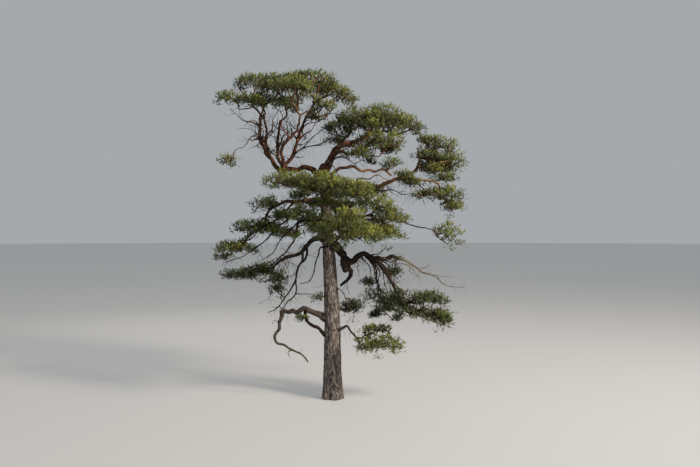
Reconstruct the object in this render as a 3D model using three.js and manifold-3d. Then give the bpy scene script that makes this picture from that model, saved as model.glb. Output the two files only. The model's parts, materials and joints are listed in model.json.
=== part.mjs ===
// An old, open-grown Scots pine: a bare lower trunk, crooked boughs and flat clouds of needles.
// Millimetres, +Z up. The origin is the middle of the flat cut under the trunk, at ground level.
// The tree is seen from the front, looking along +Y, with +X to the right.

import * as THREE from "three";
import { mergeVertices } from "three/addons/utils/BufferGeometryUtils.js";
import Module from "manifold-3d";

const wasm = await Module();
wasm.setup();

// Driving dimensions
const METRE = 1000;
const TRUNK_HEIGHT = 9.8 * METRE;      // ground to the fork under the crown's top
const TRUNK_FOOT_RADIUS = 0.435 * METRE;
const TRUNK_FORK_RADIUS = 0.19 * METRE;
const TRUNK_TAPER_POWER = 0.9;
const FLARE = 0.06 * METRE;            // how far the root flare stands out at the ground
const FLARE_HEIGHT = 0.45 * METRE;     // the flare falls to a third over this height
const BUTTRESSES = 5;                  // rounded ribs that run down into the roots
const BUTTRESS_DEPTH = 0.035 * METRE;
const LEAN_START = 3.0 * METRE;        // above this the trunk leans to the left
const LEAN = 0.41 * METRE;             // how far it has leaned at the fork
const LEAN_POWER = 1.3;
const LEAN_BACK = 0.05 * METRE;

const SEAT_GAP = 0.42;                 // a limb or stem stops about this far from what carries it
const CLEARANCE = 15;                  // least gap between two masses, or a mass and a strange limb
const SMALLEST_DETAIL = 5;             // what is smaller is smoothed away where sprays and twigs join
const LIMB_STEP = 0.42 * METRE;        // spacing of a limb's rings
const TAPER_POWER = 0.8;

const TWIG_RADIUS = 0.014 * METRE;     // of a twig that carries one spray
const THICKEST_TWIG = 0.042 * METRE;   // the radius of a mass's stem at most
const STEM_START = 0.99;               // share of its bough's length where a mass's stem starts
const STEM_REACH = 0.07 * METRE;       // how far past its bough's tip the stem first forks
const PATH_WEIGHT = 0.35;              // how much a twig prefers to start near the stem's root
const CORE_SIDES = 8;                  // round a cloud's core, the dense needles inside its sprays
const CORE_LEVELS = 4;
const CORE_TUFT = 0.9;                 // share of the cloud that every other corner swells to
const CORE_HOLLOW = 0.62;              // share that the corners between sink to
const CORE_UNEVEN = 0.22;
const CORE_SCALES = [1, 0.85, 0.7, 0.55];  // tried in turn until the core clears its neighbours
const SPRAYS_PER_CLOUD = 2;            // and more by the area of its plan
const SPRAYS_PER_SQUARE_METRE = 1.44;
const SPRAY_ROOT = 0.42;               // share of the way from the cloud's middle to the spray's tip
const SPRAY_OVERREACH = 1.04;          // sprays stand a little past their cloud
const SPRAY_WIDTH = 0.95;              // of its length
const SPRAY_THICKNESS = 0.14;          // of its length
const SPRAY_OUTLINE = [[0, 0], [0.5, 0.5], [0.66, 0.2], [1, 0], [0.66, -0.2], [0.5, -0.5]];
const SPRAY_MIDDLE = 0.45;             // where along it a spray is thickest
const SPRAY_TILT = 0.3 * Math.PI;      // sprays lie neither flat nor on edge
const TILT_SPREAD = 0.3;
const SPRAY_BARE_ROOT = 0.4;           // share from its root that may cross its neighbours' roots
const ROLL_TRIES = 4;                  // ways round that a spray is tried before it is skipped
const LOWEST_SPRAY = -0.35;            // share of a cloud's half height, under its middle

const TRUNK_SIDES = 15;
const TRUNK_RINGS = 14;
const TRUNK_RING_POWER = 1.5;          // above 1, rings lie closer towards the ground
const THICK_LIMB = 0.1 * METRE;        // limbs with a thicker foot have more sides
const THICK_LIMB_SIDES = 7;
const LIMB_SIDES = 5;
const FEWEST_RINGS = 3;
const MOST_RINGS = 14;
const STEEP = 0.9;                     // rise of a direction that counts as upright
const GOLDEN_ANGLE = Math.PI * (3 - Math.sqrt(5));
const UP = new THREE.Vector3(0, 0, 1);
const RIGHT = new THREE.Vector3(1, 0, 0);

const BARK_LOW = { color: "#7a6a60", roughness: 0.95 };
const BARK_HIGH = { color: "#a8694a", roughness: 0.85 };
const BARK_DARK = { color: "#4a3d36", roughness: 0.95 };
const DEADWOOD = { color: "#9a938a", roughness: 0.9 };
const NEEDLES = { color: "#43542a", roughness: 0.7 };

// Boughs: name, what carries it, where it starts (metres up the trunk, or the share of a bough's
// length), radii at its foot and tip in metres, bark, then the bends it passes through and its tip,
// each in metres to the right of the trunk's foot, behind it, and up.
const BOUGHS = [
  ["high_left_bough", "trunk", 9.5, 0.125, 0.105, BARK_HIGH,
    [-0.85, 0.1, 9.8], [-1.35, 0.1, 9.9], [-1.85, 0.15, 9.8], [-2.25, 0.15, 9.75]],
  ["dome_left_bough", "high_left_bough", 0.97, 0.1, 0.055, BARK_DARK,
    [-2.6, 0.1, 10.2], [-2.9, 0, 10.65], [-3.1, -0.1, 11.2], [-3.1, -0.2, 11.7], [-3.05, -0.3, 12.1]],
  ["dome_right_bough", "high_left_bough", 0.94, 0.095, 0.05, BARK_DARK,
    [-1.95, 0.2, 10.15], [-1.7, 0.3, 10.5], [-1.55, 0.25, 11.1], [-1.3, 0.1, 11.7], [-1.15, 0.1, 12.1]],
  ["dome_front_bough", "high_left_bough", 0.9, 0.09, 0.055, BARK_HIGH,
    [-2.15, -0.25, 10.3], [-2.15, -0.4, 10.65], [-1.7, -0.6, 11.2], [-1.45, -0.65, 11.4]],
  ["dome_back_bough", "high_left_bough", 0.92, 0.085, 0.05, BARK_DARK,
    [-2.35, 0.5, 10.4], [-2.45, 0.7, 10.95], [-2.35, 0.9, 12.05]],
  ["dome_twin_bough", "dome_left_bough", 0.27, 0.065, 0.045, BARK_DARK,
    [-2.85, 0.3, 10.85], [-2.9, 0.45, 11.6], [-3.0, 0.5, 12.1]],
  ["crossing_dead_limb", "dome_right_bough", 0.28, 0.045, 0.018, DEADWOOD,
    [-1.35, 0.35, 10.75], [-0.9, 0.4, 10.9], [-0.45, 0.4, 11.0], [-0.1, 0.4, 11.2]],
  ["outer_left_limb", "dome_left_bough", 0.68, 0.045, 0.025, DEADWOOD,
    [-3.4, -0.3, 11.2], [-3.75, -0.5, 10.75], [-4.0, -0.6, 10.65], [-4.15, -0.6, 10.45]],
  ["crest_bough", "trunk", 9.75, 0.17, 0.07, BARK_HIGH,
    [-0.2, -0.05, 10.1], [0, -0.1, 10.4], [0.25, -0.2, 10.75], [0.6, -0.2, 10.9], [1.05, -0.2, 11.05],
    [1.45, -0.2, 11.15], [1.6, -0.2, 11.4]],
  ["crest_front_limb", "crest_bough", 0.3, 0.075, 0.05, BARK_HIGH,
    [0.35, -0.7, 10.5], [0.85, -1.0, 10.4], [1.3, -1.2, 10.35]],
  ["crest_back_limb", "crest_bough", 0.46, 0.075, 0.05, BARK_HIGH,
    [0.45, 0.5, 11.15], [0.75, 1.1, 11.55]],
  ["wavy_bough", "trunk", 9.25, 0.09, 0.045, BARK_HIGH,
    [0.2, -0.6, 9.75], [0.9, -0.85, 9.85], [1.25, -0.9, 9.65], [1.55, -0.9, 9.75], [1.75, -0.9, 9.65],
    [2.15, -0.9, 9.75], [2.45, -0.9, 9.5]],
  ["right_bough", "trunk", 8.85, 0.145, 0.055, BARK_HIGH,
    [0.25, -0.2, 9.1], [0.85, -0.35, 9.15], [1.55, -0.45, 9.1], [2.0, -0.5, 9.05], [2.45, -0.5, 9.25],
    [3.05, -0.5, 9.5], [3.45, -0.5, 9.7], [3.65, -0.5, 10.05], [3.65, -0.5, 10.5]],
  ["right_outer_limb", "right_bough", 0.68, 0.075, 0.04, BARK_HIGH,
    [3.45, -0.8, 9.35], [4.0, -1.05, 9.25], [4.4, -1.15, 9.15]],
  ["front_high_bough", "trunk", 8.5, 0.09, 0.05, BARK_HIGH,
    [-0.2, -0.8, 8.75], [-0.25, -1.5, 8.85]],
  ["back_high_bough", "trunk", 8.75, 0.1, 0.05, BARK_HIGH,
    [-0.4, 1.0, 9.0], [-0.55, 1.8, 9.2]],
  ["left_bough", "trunk", 8.4, 0.11, 0.06, BARK_HIGH,
    [-0.9, -0.2, 8.5], [-1.55, -0.4, 8.45], [-2.1, -0.5, 8.4], [-2.45, -0.5, 8.2]],
  ["middle_left_bough", "trunk", 7.4, 0.08, 0.05, BARK_LOW,
    [-0.5, -0.5, 7.65], [-0.8, -0.9, 7.75]],
  ["middle_right_bough", "trunk", 7.55, 0.095, 0.05, BARK_HIGH,
    [0.35, -0.4, 7.75], [1.0, -0.7, 7.75], [1.6, -0.9, 7.85]],
  ["far_right_limb", "middle_right_bough", 0.7, 0.06, 0.03, DEADWOOD,
    [2.0, -0.45, 7.65], [2.75, -0.2, 7.75], [3.2, 0, 7.5], [3.75, 0.1, 7.35], [4.3, 0.2, 7.25]],
  ["front_low_bough", "trunk", 6.6, 0.09, 0.05, BARK_LOW,
    [0, -0.9, 6.8], [0.25, -1.8, 6.95]],
  ["back_low_bough", "trunk", 6.95, 0.1, 0.05, BARK_LOW,
    [-0.1, 1.0, 7.15], [0.2, 2.0, 7.35]],
  ["dark_left_bough", "trunk", 6.8, 0.13, 0.055, BARK_DARK,
    [-0.65, -0.2, 6.85], [-1.0, -0.3, 6.65], [-1.2, -0.35, 6.35], [-1.6, -0.4, 6.15],
    [-1.95, -0.45, 6.05], [-2.3, -0.5, 5.85]],
  ["dead_left_limb", "dark_left_bough", 0.44, 0.06, 0.02, BARK_DARK,
    [-1.05, -0.6, 6.15], [-1.4, -0.7, 5.7], [-1.55, -0.7, 5.1], [-2.0, -0.7, 4.35], [-2.3, -0.7, 3.95],
    [-2.7, -0.7, 3.75]],
  ["dead_left_twin", "dark_left_bough", 0.55, 0.055, 0.02, BARK_DARK,
    [-1.3, 0, 5.9], [-1.5, 0.1, 5.55], [-1.6, 0.15, 4.95], [-1.6, 0.15, 4.5], [-1.9, 0.15, 4.15],
    [-2.2, 0.15, 3.8]],
  ["dark_right_bough", "trunk", 6.6, 0.175, 0.075, BARK_DARK,
    [0.2, -0.1, 6.4], [0.45, -0.15, 6.15], [0.7, -0.2, 5.85], [0.95, -0.25, 5.9], [1.25, -0.3, 6.15],
    [1.55, -0.3, 6.05], [2.05, -0.3, 6.0], [2.55, -0.3, 6.05], [3.0, -0.3, 6.0]],
  ["hooked_stub", "dark_right_bough", 0.3, 0.125, 0.05, BARK_DARK,
    [0.66, -0.25, 5.65], [0.76, -0.3, 5.42], [0.68, -0.12, 5.18], [0.48, 0.12, 4.98],
    [0.36, 0.32, 4.82]],
  ["lower_right_limb", "dark_right_bough", 0.62, 0.09, 0.05, BARK_DARK,
    [2.0, -0.7, 5.75], [2.25, -0.95, 5.45], [2.5, -1.05, 5.0], [2.7, -1.1, 4.65], [2.95, -1.1, 4.25]],
  ["inner_right_limb", "dark_right_bough", 0.56, 0.05, 0.03, BARK_DARK,
    [1.85, 0, 5.65], [1.9, 0.1, 5.2], [2.0, 0.1, 4.75]],
  ["dead_right_limb", "dark_right_bough", 0.99, 0.06, 0.015, DEADWOOD,
    [3.5, -0.3, 5.7], [3.8, -0.3, 5.45], [4.15, -0.3, 5.35], [4.5, -0.3, 5.15], [4.75, -0.3, 4.9],
    [5.2, -0.3, 4.8], [5.65, -0.3, 4.8]],
  ["loop_bough", "trunk", 3.35, 0.15, 0.09, BARK_DARK,
    [-0.45, 0, 3.5], [-0.8, 0, 3.7], [-1.2, 0, 3.9], [-1.55, 0, 3.7], [-1.9, 0, 3.75], [-2.2, 0, 3.7]],
  ["loop_tail", "loop_bough", 0.98, 0.09, 0.04, BARK_DARK,
    [-2.25, -0.05, 3.35], [-2.3, -0.1, 3.0], [-2.5, -0.15, 2.7], [-2.35, -0.2, 2.4], [-2.0, -0.2, 2.3],
    [-1.7, -0.2, 2.1], [-1.35, -0.2, 1.95], [-1.05, -0.2, 1.6]],
  ["loop_prop", "trunk", 2.45, 0.085, 0.07, BARK_DARK,
    [-0.35, -0.1, 2.75], [-0.55, -0.1, 3.0], [-0.85, -0.1, 3.15], [-1.1, -0.1, 3.35], [-1.18, 0, 3.85]],
  ["lowest_right_bough", "trunk", 2.8, 0.08, 0.04, BARK_DARK,
    [0.4, -0.2, 3.0], [0.6, -0.3, 3.15], [0.75, -0.4, 2.95], [1.05, -0.5, 2.65]],
];

// Masses of needles: name, the bough whose tip carries it, then its clouds. A cloud is a flattened
// ball: its middle in metres (right, behind, up) and its half width, half depth and half height.
const MASSES = [
  ["dome_left_needles", "dome_left_bough",
    [-3.45, -0.3, 13.35, 0.72, 0.85, 0.52],
    [-4.35, -0.4, 12.7, 0.8, 0.7, 0.4],
    [-3.25, -0.6, 12.5, 0.5, 0.5, 0.33]],
  ["dome_rear_needles", "dome_twin_bough",
    [-3.0, 1.0, 12.95, 0.65, 0.75, 0.42],
    [-2.6, 1.6, 13.65, 0.95, 0.95, 0.5]],
  ["dome_top_needles", "dome_back_bough",
    [-2.05, 0.9, 12.8, 0.6, 0.6, 0.38],
    [-2.2, 0, 13.45, 0.92, 0.95, 0.56]],
  ["dome_crown_needles", "dome_front_bough",
    [-1.3, -1.1, 12.5, 0.75, 0.7, 0.4],
    [-1.6, -1.6, 12.95, 0.9, 0.85, 0.5],
    [-0.9, -0.35, 13.5, 0.95, 0.95, 0.56]],
  ["dome_right_needles", "dome_right_bough",
    [-0.3, -0.7, 12.3, 0.65, 0.65, 0.33],
    [0.05, 0.2, 13.0, 0.82, 0.95, 0.55],
    [0.7, 0, 12.65, 0.47, 0.7, 0.42],
    [-0.7, 1.4, 13.5, 0.9, 0.85, 0.5]],
  ["outer_left_needles", "outer_left_limb",
    [-4.5, -0.6, 10.05, 0.4, 0.4, 0.36]],
  ["crest_top_needles", "crest_bough",
    [2.15, -0.3, 12.0, 0.98, 0.95, 0.63],
    [3.1, -0.4, 11.55, 0.82, 0.85, 0.58],
    [1.3, -0.9, 11.75, 0.78, 0.75, 0.55]],
  ["crest_rear_needles", "crest_back_limb",
    [0.95, 0.9, 12.05, 0.72, 0.95, 0.58],
    [0.4, 0.6, 11.55, 0.65, 0.65, 0.62],
    [2.4, 1.4, 12.0, 0.95, 0.85, 0.55]],
  ["crest_under_needles", "crest_front_limb",
    [1.95, -1.45, 10.75, 0.98, 0.85, 0.58],
    [1.1, -1.85, 10.25, 0.6, 0.5, 0.34]],
  ["wavy_needles", "wavy_bough",
    [2.5, -0.95, 9.9, 0.45, 0.45, 0.38]],
  ["right_top_needles", "right_bough",
    [4.5, -0.4, 10.7, 0.78, 0.85, 0.58],
    [5.12, -0.3, 10.0, 0.5, 0.9, 0.62],
    [4.5, 0.45, 9.9, 0.85, 0.75, 0.52]],
  ["right_low_needles", "right_outer_limb",
    [4.7, -1.1, 8.65, 0.72, 0.75, 0.46],
    [5.05, -0.9, 8.15, 0.45, 0.55, 0.4]],
  ["front_high_needles", "front_high_bough",
    [-0.45, -2.3, 9.0, 0.9, 0.85, 0.58],
    [0.75, -2.35, 8.75, 0.85, 0.8, 0.52],
    [-1.75, -1.7, 9.1, 0.95, 0.8, 0.52]],
  ["back_high_needles", "back_high_bough",
    [0.05, 3.0, 9.2, 1.0, 0.95, 0.55],
    [-1.4, 2.2, 9.3, 0.9, 0.85, 0.45],
    [1.4, 2.4, 8.95, 1.0, 0.85, 0.5]],
  ["left_droop_needles", "left_bough",
    [-2.75, -0.6, 8.2, 0.7, 0.7, 0.48],
    [-2.6, -0.7, 7.2, 0.65, 0.55, 0.38],
    [-3.5, -0.6, 7.25, 0.75, 0.75, 0.42],
    [-4.1, -0.5, 6.4, 0.85, 0.7, 0.42]],
  ["middle_left_needles", "middle_left_bough",
    [-1.3, -1.3, 7.8, 0.9, 0.85, 0.6],
    [-1.75, -1.05, 7.05, 0.6, 0.55, 0.36]],
  ["middle_right_needles", "middle_right_bough",
    [1.6, -1.45, 8.15, 1.0, 0.9, 0.6],
    [2.45, -1.0, 7.65, 0.8, 0.8, 0.55],
    [2.2, -1.0, 6.95, 0.8, 0.8, 0.55]],
  ["far_right_needles", "far_right_limb",
    [5.0, 0.3, 6.9, 0.66, 0.7, 0.68]],
  ["front_low_needles", "front_low_bough",
    [0.15, -2.6, 7.0, 0.85, 0.8, 0.58],
    [1.2, -2.9, 6.9, 0.85, 0.8, 0.55],
    [0.65, -3.4, 7.5, 0.9, 0.8, 0.52]],
  ["back_low_needles", "back_low_bough",
    [0.5, 3.2, 7.45, 1.0, 0.95, 0.55],
    [1.8, 2.6, 7.25, 1.0, 0.85, 0.52],
    [-0.75, 2.7, 7.5, 0.8, 0.75, 0.45]],
  ["low_left_needles", "dark_left_bough",
    [-2.95, -0.5, 5.6, 0.45, 0.45, 0.27],
    [-3.8, -0.5, 5.3, 0.85, 0.65, 0.35],
    [-2.4, -0.4, 5.1, 0.55, 0.55, 0.5]],
  ["lower_right_needles", "lower_right_limb",
    [3.3, -1.2, 3.8, 0.62, 0.6, 0.38],
    [4.05, -1.2, 4.3, 0.85, 0.75, 0.42],
    [4.5, -1.2, 3.6, 0.62, 0.65, 0.4]],
  ["inner_right_needles", "inner_right_limb",
    [1.8, 0.1, 4.35, 0.52, 0.55, 0.4],
    [2.45, 0.2, 3.8, 0.68, 0.55, 0.5]],
  ["trunk_needles", "trunk",
    [0.85, 0.7, 3.8, 0.6, 0.55, 0.42]],
  ["lowest_needles", "lowest_right_bough",
    [1.85, -0.6, 3.0, 0.6, 0.5, 0.25],
    [2.0, -0.9, 2.35, 1.05, 0.8, 0.55]],
];
const TRUNK_NEEDLES_HEIGHT = 3.95 * METRE;  // where a tuft of needles grows from the trunk itself

// A fixed sequence of numbers between 0 and 1 for each seed.
function seededRandom(seed) {
  let state = seed >>> 0;
  return () => {
    state = (Math.imul(state, 1664525) + 1013904223) >>> 0;
    return state / 2 ** 32;
  };
}

// A closed geometry becomes a solid that can be cut and joined.
function solidOf(geometry) {
  geometry.deleteAttribute("normal");
  geometry.deleteAttribute("uv");
  const closed = mergeVertices(geometry, 0.001);
  const vertProperties = Float32Array.from(closed.attributes.position.array);
  const triVerts = Uint32Array.from(closed.index.array);
  return new wasm.Manifold(new wasm.Mesh({ numProp: 3, vertProperties, triVerts }));
}

function largestPiece(solid) {
  return solid.decompose().reduce((best, piece) => (piece.volume() > best.volume() ? piece : best));
}

// Bends a closed cylinder so that each ring and the two ends follow a route.
function bentCylinder(sides, rings, placeVertex) {
  const tube = new THREE.CylinderGeometry(1, 1, 1, sides, rings);
  const position = tube.attributes.position;
  const vertex = new THREE.Vector3();
  for (let i = 0; i < position.count; i++) {
    vertex.fromBufferAttribute(position, i);
    const along = Math.round((vertex.y + 0.5) * rings) / rings;
    const placed = placeVertex(along, vertex.x, vertex.z);
    position.setXYZ(i, placed.x, placed.y, placed.z);
  }
  return solidOf(tube);
}

function trunkMiddle(height) {
  const leaned = Math.max(0, height - LEAN_START) / (TRUNK_HEIGHT - LEAN_START);
  return new THREE.Vector3(-LEAN * leaned ** LEAN_POWER, LEAN_BACK * (height / TRUNK_HEIGHT), height);
}

function trunkRadius(height, angle) {
  const share = (height / TRUNK_HEIGHT) ** TRUNK_TAPER_POWER;
  const flare = Math.exp(-height / FLARE_HEIGHT);
  const rib = BUTTRESS_DEPTH * flare * Math.cos(BUTTRESSES * angle);
  return THREE.MathUtils.lerp(TRUNK_FOOT_RADIUS, TRUNK_FORK_RADIUS, share) + FLARE * flare + rib;
}

// The trunk's rings are level, so its foot is a flat cut at the ground.
function trunkSolid(grown) {
  return bentCylinder(TRUNK_SIDES, TRUNK_RINGS, (along, x, z) => {
    const height = TRUNK_HEIGHT * along ** TRUNK_RING_POWER;
    const radius = trunkRadius(height, Math.atan2(z, x)) + grown;
    const overrun = along === 1 ? grown : 0;
    return trunkMiddle(height).add(new THREE.Vector3(x * radius, -z * radius, overrun));
  });
}

// A limb is one round-section taper along its route, a few rings to each bend.
class Limb {
  constructor(route, footRadius, tipRadius) {
    this.curve = new THREE.CatmullRomCurve3(route, false, "centripetal");
    this.footRadius = footRadius;
    this.tipRadius = tipRadius;
    this.sides = footRadius > THICK_LIMB ? THICK_LIMB_SIDES : LIMB_SIDES;
    const rings = Math.round(this.curve.getLength() / LIMB_STEP);
    this.rings = THREE.MathUtils.clamp(rings, FEWEST_RINGS, MOST_RINGS);
    this.frames = this.curve.computeFrenetFrames(this.rings, false);
  }

  pointAt(share) {
    return this.curve.getPointAt(share);
  }

  solid(grown) {
    return bentCylinder(this.sides, this.rings, (along, x, z) => {
      const ring = Math.round(along * this.rings);
      const radius = THREE.MathUtils.lerp(this.footRadius, this.tipRadius, along ** TAPER_POWER) + grown;
      const across = this.frames.normals[ring];
      const tangent = this.frames.tangents[ring];
      const sideways = new THREE.Vector3().crossVectors(across, tangent);
      const overrun = along === 1 ? grown : along === 0 ? -grown : 0;
      return this.pointAt(along)
        .addScaledVector(across, x * radius)
        .addScaledVector(sideways, z * radius)
        .addScaledVector(tangent, overrun);
    });
  }
}

function boxesMeet(a, b, margin) {
  const reaches = (low, high) => [0, 1, 2].every((axis) => low.min[axis] - margin < high.max[axis]);
  return reaches(a, b) && reaches(b, a);
}

// Everything made so far, so that what comes later can keep clear of it.
const tree = new THREE.Group();
tree.name = "scots_pine";
const wood = new THREE.Group();
const foliage = new THREE.Group();
tree.add(wood, foliage);

const limbs = new Map();
const seatCutters = [];
const placedPieces = [];

function addMesh(parent, name, solid, seat, finish) {
  const mesh = solid.translate(-seat.x, -seat.y, -seat.z).getMesh();
  const geometry = new THREE.BufferGeometry();
  geometry.setAttribute("position", new THREE.BufferAttribute(mesh.vertProperties, 3));
  geometry.setIndex(new THREE.BufferAttribute(mesh.triVerts, 1));
  geometry.computeVertexNormals();
  const node = new THREE.Mesh(geometry, new THREE.MeshStandardMaterial({ ...finish, metalness: 0 }));
  node.name = name;
  node.position.copy(seat);
  parent.add(node);
}

// A solid is cut back to its seat on every limb that it starts in or runs into.
function seatOnLimbs(solid) {
  const box = solid.boundingBox();
  const cutters = seatCutters.filter((cutter) => boxesMeet(cutter.boundingBox(), box, 0));
  return largestPiece(cutters.reduce((rest, cutter) => rest.subtract(cutter), solid));
}

function makeTrunk() {
  const solid = trunkSolid(0);
  seatCutters.push(trunkSolid(SEAT_GAP));
  placedPieces.push({ owner: "trunk", solid });
  addMesh(wood, "trunk", solid, new THREE.Vector3(), BARK_LOW);
}

function startOnParent(parent, start) {
  return parent === "trunk" ? trunkMiddle(start * METRE) : limbs.get(parent).pointAt(start);
}

function makeBough([name, parent, start, footRadius, tipRadius, finish, ...bends]) {
  const foot = startOnParent(parent, start);
  const route = [foot, ...bends.map(([x, y, z]) => new THREE.Vector3(x, y, z).multiplyScalar(METRE))];
  const limb = new Limb(route, footRadius * METRE, tipRadius * METRE);
  limbs.set(name, limb);
  const solid = seatOnLimbs(limb.solid(0));
  seatCutters.push(limb.solid(SEAT_GAP));
  placedPieces.push({ owner: name, solid });
  addMesh(wood, name, solid, foot, finish);
}

// A level direction square to a twig or spray, or any square one where that stands upright.
function squareTo(direction) {
  const other = Math.abs(direction.z) > STEEP ? RIGHT : UP;
  return new THREE.Vector3().crossVectors(direction, other).normalize();
}

// A three-sided twig between two points.
function twigSolid(from, to, radius) {
  const tangent = to.clone().sub(from).normalize();
  const across = squareTo(tangent);
  const sideways = new THREE.Vector3().crossVectors(across, tangent);
  return bentCylinder(3, 1, (along, x, z) => new THREE.Vector3()
    .lerpVectors(from, to, along)
    .addScaledVector(across, x * radius)
    .addScaledVector(sideways, z * radius));
}

// A spray of needles: a flattened six-cornered ball drawn out to a root, a tip and two side teeth.
function spraySolid(root, tip, roll) {
  const length = root.distanceTo(tip);
  const along = tip.clone().sub(root).normalize();
  const across = squareTo(along).applyAxisAngle(along, roll);
  const thick = new THREE.Vector3().crossVectors(across, along);
  const ball = new THREE.SphereGeometry(1, SPRAY_OUTLINE.length, 2);
  const position = ball.attributes.position;
  for (let i = 0; i < position.count; i++) {
    const height = position.getY(i);
    const isMiddle = Math.round(height) !== 0;
    const corner = SPRAY_OUTLINE[i % (SPRAY_OUTLINE.length + 1) % SPRAY_OUTLINE.length];
    const [share, side] = isMiddle ? [SPRAY_MIDDLE, 0] : corner;
    const placed = root.clone()
      .addScaledVector(along, share * length)
      .addScaledVector(across, side * length * SPRAY_WIDTH)
      .addScaledVector(thick, isMiddle ? Math.sign(height) * length * SPRAY_THICKNESS * 0.5 : 0);
    position.setXYZ(i, placed.x, placed.y, placed.z);
  }
  return solidOf(ball);
}

function meets(solid, other) {
  const near = boxesMeet(solid.boundingBox(), other.boundingBox(), CLEARANCE);
  return near && solid.minGap(other, CLEARANCE) < CLEARANCE;
}

// Nothing of a mass comes near a limb or another mass, but for the bough that carries it.
function isClear(solid, carrier) {
  return placedPieces.every((other) => other.owner === carrier || !meets(solid, other.solid));
}

class Cloud {
  constructor([x, y, z, halfWidth, halfDepth, halfHeight], mass) {
    this.mass = mass;
    this.middle = new THREE.Vector3(x, y, z).multiplyScalar(METRE);
    this.half = new THREE.Vector3(halfWidth, halfDepth, halfHeight).multiplyScalar(METRE);
    const plan = Math.PI * halfWidth * halfDepth;
    this.sprayCount = Math.round(SPRAYS_PER_CLOUD + SPRAYS_PER_SQUARE_METRE * plan);
  }

  depthOf(point) {
    return point.clone().sub(this.middle).divide(this.half).length();
  }

  // Even places over the cloud's top and rim, none far underneath.
  rimPoint(index, random) {
    const height = 1 - (1 - LOWEST_SPRAY) * ((index + 0.5) / this.sprayCount);
    const turn = index * GOLDEN_ANGLE + random();
    const reach = Math.sqrt(1 - height * height);
    const rim = new THREE.Vector3(Math.cos(turn) * reach, Math.sin(turn) * reach, height);
    return rim.multiply(this.half).multiplyScalar(SPRAY_OVERREACH).add(this.middle);
  }
}

const allClouds = MASSES.flatMap(([mass, , ...clouds]) => clouds.map((sizes) => new Cloud(sizes, mass)));

function isOwnSpace(point, cloud) {
  const depth = cloud.depthOf(point);
  return allClouds.every((other) => other.mass === cloud.mass || other.depthOf(point) > depth);
}

// A cloud's core is a flattened ball whose corners swell and sink by turns, as tufts of needles do.
function coreSolid(cloud, scale, random) {
  const ball = new THREE.SphereGeometry(1, CORE_SIDES, CORE_LEVELS);
  const position = ball.attributes.position;
  const uneven = Array.from({ length: CORE_SIDES * CORE_LEVELS }, () => CORE_UNEVEN * (random() - 0.5));
  for (let i = 0; i < position.count; i++) {
    const level = Math.floor(i / (CORE_SIDES + 1)) % CORE_LEVELS;
    const side = level === 0 ? 0 : i % (CORE_SIDES + 1) % CORE_SIDES;
    const reach = level === 0 || (side + level) % 2 ? CORE_HOLLOW : CORE_TUFT;
    const share = scale * (reach + uneven[level * CORE_SIDES + side]);
    const corner = new THREE.Vector3(position.getX(i), -position.getZ(i), position.getY(i));
    position.setXYZ(i, ...corner.multiply(cloud.half).multiplyScalar(share).add(cloud.middle));
  }
  return solidOf(ball);
}

// The growing rule: each new joint starts from the joint that gives the shortest way to the root.
class TwigTree {
  constructor(carrier, stem) {
    this.carrier = carrier;
    this.root = { place: stem[0], parent: null, path: 0, load: 0 };
    this.joints = [stem.length > 1 ? { place: stem[1], parent: this.root, path: 0, load: 0 } : this.root];
    this.cores = [];
    this.sprays = [];
  }

  grow(target) {
    const cost = (joint) => joint.place.distanceTo(target) + PATH_WEIGHT * joint.path;
    const parent = this.joints.reduce((best, joint) => (cost(joint) < cost(best) ? joint : best));
    if (!isClear(twigSolid(parent.place, target, THICKEST_TWIG), this.carrier)) return null;
    const path = parent.path + parent.place.distanceTo(target);
    const joint = { place: target, parent, path, load: 0 };
    this.joints.push(joint);
    return joint;
  }

  addCore(cloud, random) {
    const cores = CORE_SCALES.map((scale) => coreSolid(cloud, scale, random));
    const fitting = cores.find((core) => isClear(core, this.carrier));
    if (fitting) this.cores.push(fitting);
  }

  addSpray(cloud, joint, tip, roll) {
    const root = cloud.middle.clone().lerp(tip, SPRAY_ROOT);
    const bareRoot = root.clone().lerp(tip, SPRAY_BARE_ROOT);
    const rolls = Array.from({ length: ROLL_TRIES }, (_, turn) => roll + (turn * Math.PI) / ROLL_TRIES);
    const fitting = rolls.find((angle) => {
      const outer = spraySolid(bareRoot, tip, angle);
      const crossesOther = this.sprays.some((other) => meets(outer, other));
      return !crossesOther && isClear(spraySolid(root, tip, angle), this.carrier);
    });
    if (fitting === undefined) return;
    this.sprays.push(spraySolid(root, tip, fitting));
    for (let carrying = joint; carrying; carrying = carrying.parent) carrying.load += 1;
  }

  solid() {
    const radius = (joint) => Math.min(THICKEST_TWIG, TWIG_RADIUS * Math.sqrt(joint.load));
    const twigs = this.joints
      .filter((joint) => joint.parent && joint.load > 0)
      .map((joint) => twigSolid(joint.parent.place, joint.place, radius(joint)));
    const fused = wasm.Manifold.union([...twigs, ...this.cores, ...this.sprays]);
    return fused.asOriginal().simplify(SMALLEST_DETAIL);
  }
}

// A stem starts inside what carries it, and on a bough comes out of the tip before it forks.
function stemRoute(carrier) {
  if (carrier === "trunk") return [trunkMiddle(TRUNK_NEEDLES_HEIGHT)];
  const { curve } = limbs.get(carrier);
  const firstFork = curve.getPointAt(1).addScaledVector(curve.getTangentAt(1), STEM_REACH);
  return [curve.getPointAt(STEM_START), firstFork];
}

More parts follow.
